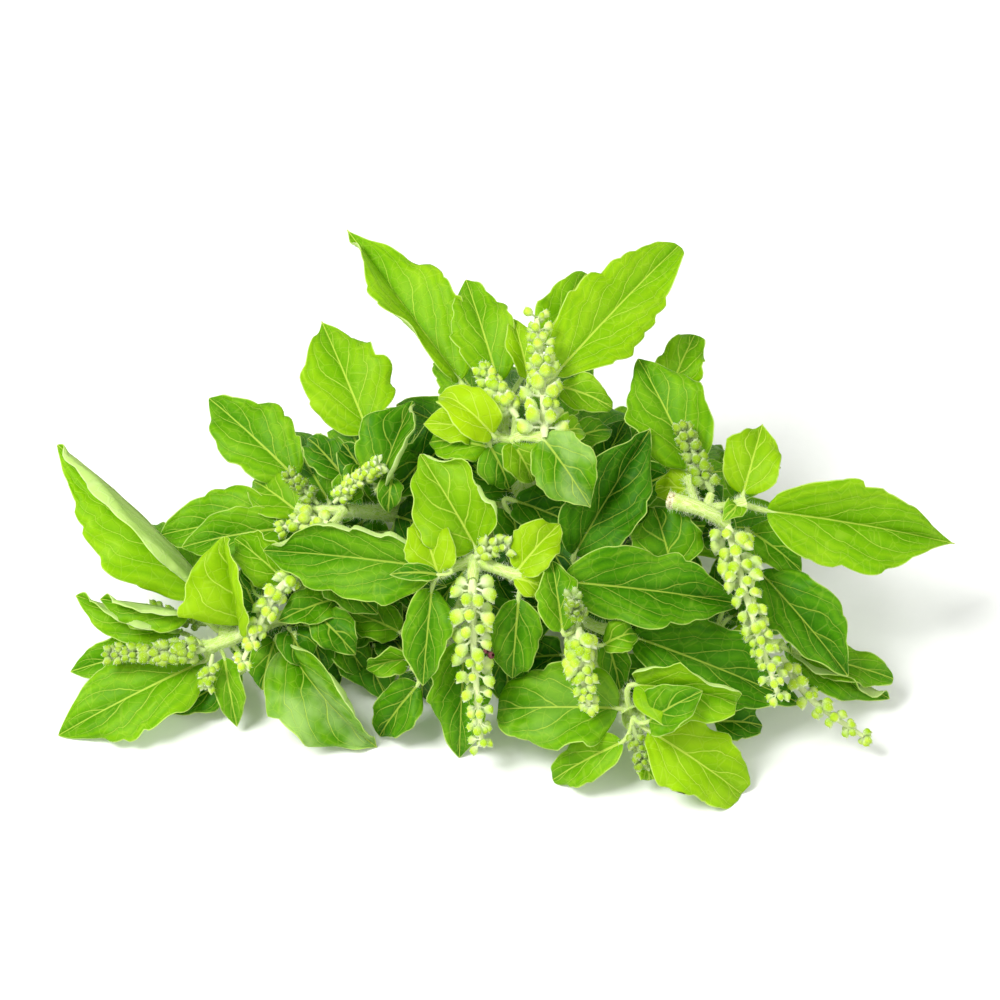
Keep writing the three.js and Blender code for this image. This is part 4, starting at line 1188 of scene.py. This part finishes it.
def hairs_tree():
    """Fine tapering hairs scattered over a surface, standing out from it at random slants."""
    tree, given, result = new_tree("fine_hairs", [
        ("Density", "Float"), ("Length", "Float"), ("Radius", "Float"), ("Seed", "Int"),
        ("Material", "Material")])
    spread = node_in(tree, "GeometryNodeDistributePointsOnFaces",
                     {"Mesh": given["Geometry"], "Density": given["Density"], "Seed": given["Seed"]})
    hair = node_in(tree, "GeometryNodeMeshCone",
                   {"Vertices": 3, "Radius Top": 0.0, "Radius Bottom": given["Radius"],
                    "Depth": given["Length"]},
                   fill_type="NGON").outputs[0]
    rotation = turned(tree, spread.outputs["Rotation"], x=random_between(tree, -0.7, 0.7, given["Seed"], 1),
                      y=random_between(tree, -0.7, 0.7, given["Seed"], 2))
    size = random_between(tree, 0.35, 1.1, given["Seed"], 3)
    hairs = node_in(tree, "GeometryNodeInstanceOnPoints",
                    {"Points": spread.outputs["Points"], "Instance": hair, "Rotation": rotation,
                     "Scale": size}).outputs[0]
    finish_tree(tree, hairs, given["Material"], result)
    return tree


def one_cup(name, stalk, material):
    """One bud on its stalk, along +X: a round bead with a pale foot and one pale, pointed lip."""
    sides = CUP_SIDES
    profile = [(-stalk, 0.22), (0, 0.2), (0.4, 0.62), (1.15, 1.0), (1.95, 1.1), (2.6, 0.94), (3.1, 0.56),
               (3.3, 0.12)]
    pale = np.repeat([0.5, 0.5, 0.5, 0.32, 0.24, 0.08, 0, 0], sides)
    shell = np.repeat([0, 0.2, 0.9, 1, 1, 1, 1, 1], sides)
    angles = math.tau * np.arange(sides) / sides
    lip = np.array([0, 0.3, 1, 0.3, 0, 0, 0, 0])
    rings = []
    for number, (along, radius) in enumerate(profile):
        share = {4: 0.4, 5: 1}.get(number, 0) * lip
        wide = CUP_RADIUS * (radius + LIP_WIDTH * share)
        forward = stalk + along + LIP_LENGTH * share
        rings.append(np.stack([forward, wide * np.cos(angles), wide * np.sin(angles)], axis=-1))
        pale[number * sides:(number + 1) * sides] += 0.9 * share
    end = (len(profile) - 1) * sides
    fan = np.array([[0, 1, 2, 3], [0, 3, 4, 5], [0, 5, 6, 7]])
    faces = np.vstack([grid_faces(len(profile), sides, True), fan[:, ::-1], fan + end])
    sheaf = Sheaf()
    sheaf.add(np.vstack(rings), faces, np.zeros(len(faces)), np.zeros((len(pale), 2)),
              looks=np.stack([0 * shell, pale, 0 * shell], axis=-1),
              place=np.stack([shell, 0 * shell, 0 * shell], axis=-1))
    return sheaf.build(name, [material])


def discard(*things):
    for thing in things:
        bpy.data.objects.remove(thing)


def path_object(line, name):
    mesh = bpy.data.meshes.new(name)
    mesh.from_pydata((line * MM).tolist(), [(i, i + 1) for i in range(len(line) - 1)], [])
    return placed(name, mesh)


def make_spike(name, shape, cups, materials, trees, seed):
    """One flower spike with its hairs, in place of its CAD node."""
    line = smooth_line(shape["path"], 1)
    line[0] = line[0] - directions(line)[0] * SHAFT_ROOT
    shaft_sheaf = Sheaf()
    radii = np.linspace(*SHAFT_RADIUS, len(line)) * min(1, shape["reach"][0] / REACH_OF_FULL_SHAFT)
    radii[0] *= 0.6
    add_tube(shaft_sheaf, line, radii, SHAFT_SIDES, 0.05, (shape["ripe"] * 0.4, 0, 0))
    shaft = shaft_sheaf.build(name + "_shaft", [materials["spike"]])
    path = path_object(line[FIRST_WHORL_AT:], name + "_path")
    stalk = LONG_STALK if shape["reach"][0] > LONG_STALK_FROM else SHORT_STALK
    full_size = (stalk + CUP_LENGTH) * math.cos(CUP_TILT)
    piece = grow(path, trees["whorls"], name + "_whorls", {
        "Cup": cups[stalk], "Shaft": shaft, "Gap": shape["gap"] * MM, "Cups": CUPS_IN_WHORL,
        "Base Size": shape["reach"][0] / full_size,
        "Tip Size": max(SMALLEST_CUP, shape["reach"][1] / full_size),
        "Tilt": CUP_TILT, "Seed": seed, "Material": materials["spike"]})
    looks = piece.data.attributes["looks"]
    values = np.empty(len(piece.data.vertices) * 3, np.float32)
    looks.data.foreach_get("vector", values)
    values[0::3] = shape["ripe"]
    looks.data.foreach_set("vector", values)
    hairs = grow(piece, trees["hairs"], name + "_hairs", {
        "Density": SPIKE_HAIR_DENSITY / MM**2, "Length": SPIKE_HAIR_LENGTH * MM, "Radius": HAIR_RADIUS * MM,
        "Seed": seed, "Material": materials["hair"]})
    discard(shaft, path)
    return piece, hairs


def keep(piece, slot, *nodes):
    """Makes a finished piece stand for its CAD nodes, with points past the CAD's box moved onto it."""
    points = np.empty(len(piece.data.vertices) * 3, np.float32)
    piece.data.vertices.foreach_get("co", points)
    points = np.clip(points.reshape(-1, 3), *np.array(cad_box, np.float32))
    piece.data.vertices.foreach_set("co", points.ravel())
    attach(piece, "root")
    if nodes:
        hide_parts(*nodes)


def add_florets(materials):
    """Two dark florets on the long front spike."""
    sheaf = Sheaf()
    for place, radius in FLORETS:
        middle = seen(place)
        line = middle + np.outer(np.linspace(-0.9, 0.9, 5) * radius, FLORETS_ALONG)
        add_tube(sheaf, line, np.array([0.4, 0.85, 1, 0.85, 0.4]) * radius, 8, 0, (0, 0, 0))
    keep(sheaf.build("front_long_florets", [materials["floret"]]), "flower_spike")


def nearest_root(stems, place):
    """The sprig whose stems come nearest to a place, and the point on them that does."""
    roots = {name: nearest_point(points, place) for name, points in stems.items()}
    name = min(roots, key=lambda one: np.linalg.norm(roots[one] - place))
    return name, roots[name]


def undergrowth(random):
    """Leaves inside the heap and at its back, each from the stem nearest to its place, by sprig."""
    stems = {name: np.vstack([smooth_line(one["path"], 1) for one in sprig["stems"]])
             for name, sprig in SPRIGS.items()}
    leaves = {name: [] for name in SPRIGS}
    for up, height, first, last, count in UNDERGROWTH_ROWS:
        for right in np.linspace(first, last, count):
            scatter = random.uniform(-INNER_SCATTER, INNER_SCATTER, 3)
            place = seen(np.array([right, up, height]) + scatter)
            name, root = nearest_root(stems, place)
            way = unit(place - root + random.uniform(-INNER_SLANT, INNER_SLANT, 3))
            length = random.uniform(*INNER_LENGTHS)
            start = max(SHORTEST_INNER_STALK, np.linalg.norm(place - root) - length / 2)
            base = root + way * start
            wide = length * random.uniform(*INNER_WIDTHS)
            left, right_fold = random.uniform(*INNER_FOLDS), random.uniform(*INNER_FOLDS)
            leaves[name].append(grown_leaf(base, base + way * length, wide, arch=1.5, left=left,
                                           right=right_fold, tone=random.uniform(*INNER_SHADED_TONES)))
    for back, height, first, last, count in BACK_ROWS:
        for across in np.linspace(first, last, count):
            scatter = random.uniform(-BACK_SCATTER, BACK_SCATTER, 3)
            place = np.array([across, back, height]) + scatter
            name, root = nearest_root(stems, place)
            outward = unit(place - root)
            way = unit(outward + np.array(BACK_SLOPE) + random.uniform(-BACK_SLANT, BACK_SLANT, 3))
            length = random.uniform(*BACK_LENGTHS)
            base = root + outward * BACK_STALK
            wide = length * random.uniform(*BACK_WIDTHS)
            leaves[name].append(grown_leaf(base, base + way * length, wide, arch=3,
                                           tone=random.uniform(*BACK_TONES)))
    return leaves


def make_sprig(name, sprig, cups, materials, trees, seed):
    random = np.random.default_rng(seed)
    node = name + "_leafy_stem"
    leaves = Sheaf()
    for shape in sprig["leaves"]:
        add_blade(leaves, shape, random)
    stems = Sheaf()
    add_stems(stems, sprig)
    blades = leaves.build(name + "_leaves", [materials["upper"], materials["under"]])
    stalks = stems.build(name + "_stems", [materials["stem"], materials["cut"]])
    hairs = grow(stalks, trees["hairs"], name + "_stem_hairs", {
        "Density": STEM_HAIR_DENSITY / MM**2, "Length": HAIR_LENGTH * MM, "Radius": HAIR_RADIUS * MM,
        "Seed": seed, "Material": materials["hair"]})
    keep(blades, "leaf_green", node)
    keep(stalks, "leaf_green", node)
    keep(hairs, "leaf_green")
    for number, (place, shape) in enumerate(sprig["spikes"].items()):
        spike_node = f"{name}_{place}_flower_spike"
        piece, fuzz = make_spike(f"{name}_{place}", shape, cups, materials, trees, seed + number + 1)
        keep(piece, "flower_spike", spike_node)
        keep(fuzz, "flower_spike")


def make_bunch():
    materials = {"upper": leaf_upper_material(), "under": leaf_under_material(), "stem": stem_material(),
                 "cut": cut_end_material(), "spike": spike_material(), "hair": hair_material(),
                 "floret": floret_material()}
    trees = {"whorls": whorls_tree(), "hairs": hairs_tree()}
    cups = {stalk: one_cup(f"cup_{number}", stalk, materials["spike"])
            for number, stalk in enumerate((SHORT_STALK, LONG_STALK))}
    inner = undergrowth(np.random.default_rng(UNDERGROWTH_SEED))
    for number, (name, sprig) in enumerate(SPRIGS.items()):
        whole = {**sprig, "leaves": sprig["leaves"] + inner[name]}
        make_sprig(name, whole, cups, materials, trees, FIRST_SPRIG_SEED + SEEDS_PER_SPRIG * number)
    add_florets(materials)
    discard(*cups.values())


def add_camera():
    sin, cos = math.sin(SIGHT_ELEVATION), math.cos(SIGHT_ELEVATION)
    camera_data = bpy.data.cameras.new("camera")
    camera_data.lens = LENS
    camera_data.sensor_width = SENSOR
    camera_data.clip_start = NEAREST_SEEN
    camera = placed("camera", camera_data)
    camera.location = (-HEAP_CENTRE[0] * MM,
                       (SIGHT_CENTRE_UP * sin - SIGHT_DISTANCE * cos - HEAP_CENTRE[1]) * MM,
                       (SIGHT_CENTRE_UP * cos + SIGHT_DISTANCE * sin) * MM)
    camera.rotation_euler = (math.pi / 2 - SIGHT_ELEVATION, 0, 0)
    bpy.context.scene.camera = camera


def add_lamp(name, place, size, power):
    """A square lamp that faces the heap."""
    lamp_data = bpy.data.lights.new(name, "AREA")
    lamp_data.energy = power
    lamp_data.size = size
    lamp = placed(name, lamp_data)
    lamp.location = place
    aim = -np.array(place)
    flat = math.hypot(aim[0], aim[1])
    lamp.rotation_euler = (math.atan2(flat, -aim[2]), 0, math.atan2(aim[1], aim[0]) - math.pi / 2)


def add_floor():
    mesh = bpy.data.meshes.new("floor")
    half = FLOOR_HALF_WIDTH
    corners = [(-half, -half, 0), (half, -half, 0), (half, half, 0), (-half, half, 0)]
    mesh.from_pydata(corners, [], [(0, 1, 2, 3)])
    floor = placed("floor", mesh)
    floor.location.z = -FLOOR_DROP
    material, tree = new_material("pale_floor")
    place = object_place(tree)
    grain = noise(tree, place, scale=300, detail=2)
    colour = blended(tree, grain, *displayed(FLOOR_WHITES))
    shader = node_in(tree, "ShaderNodeBsdfPrincipled",
                     {"Base Color": colour, "Roughness": 0.9, "Specular IOR Level": 0.1})
    node_in(tree, "ShaderNodeOutputMaterial", {"Surface": shader.outputs[0]})
    mesh.materials.append(material)


def add_studio():
    world = bpy.data.worlds.new("studio")
    world.use_nodes = True
    sky = world.node_tree.nodes["Background"]
    sky.inputs["Color"].default_value = SKY_COLOUR
    sky.inputs["Strength"].default_value = SKY_STRENGTH
    bpy.context.scene.world = world
    for name, (place, size, power) in LAMPS.items():
        add_lamp(name, place, size, power)
    bpy.context.scene.view_settings.view_transform = "Standard"


add_camera()
make_bunch()
add_floor()
add_studio()
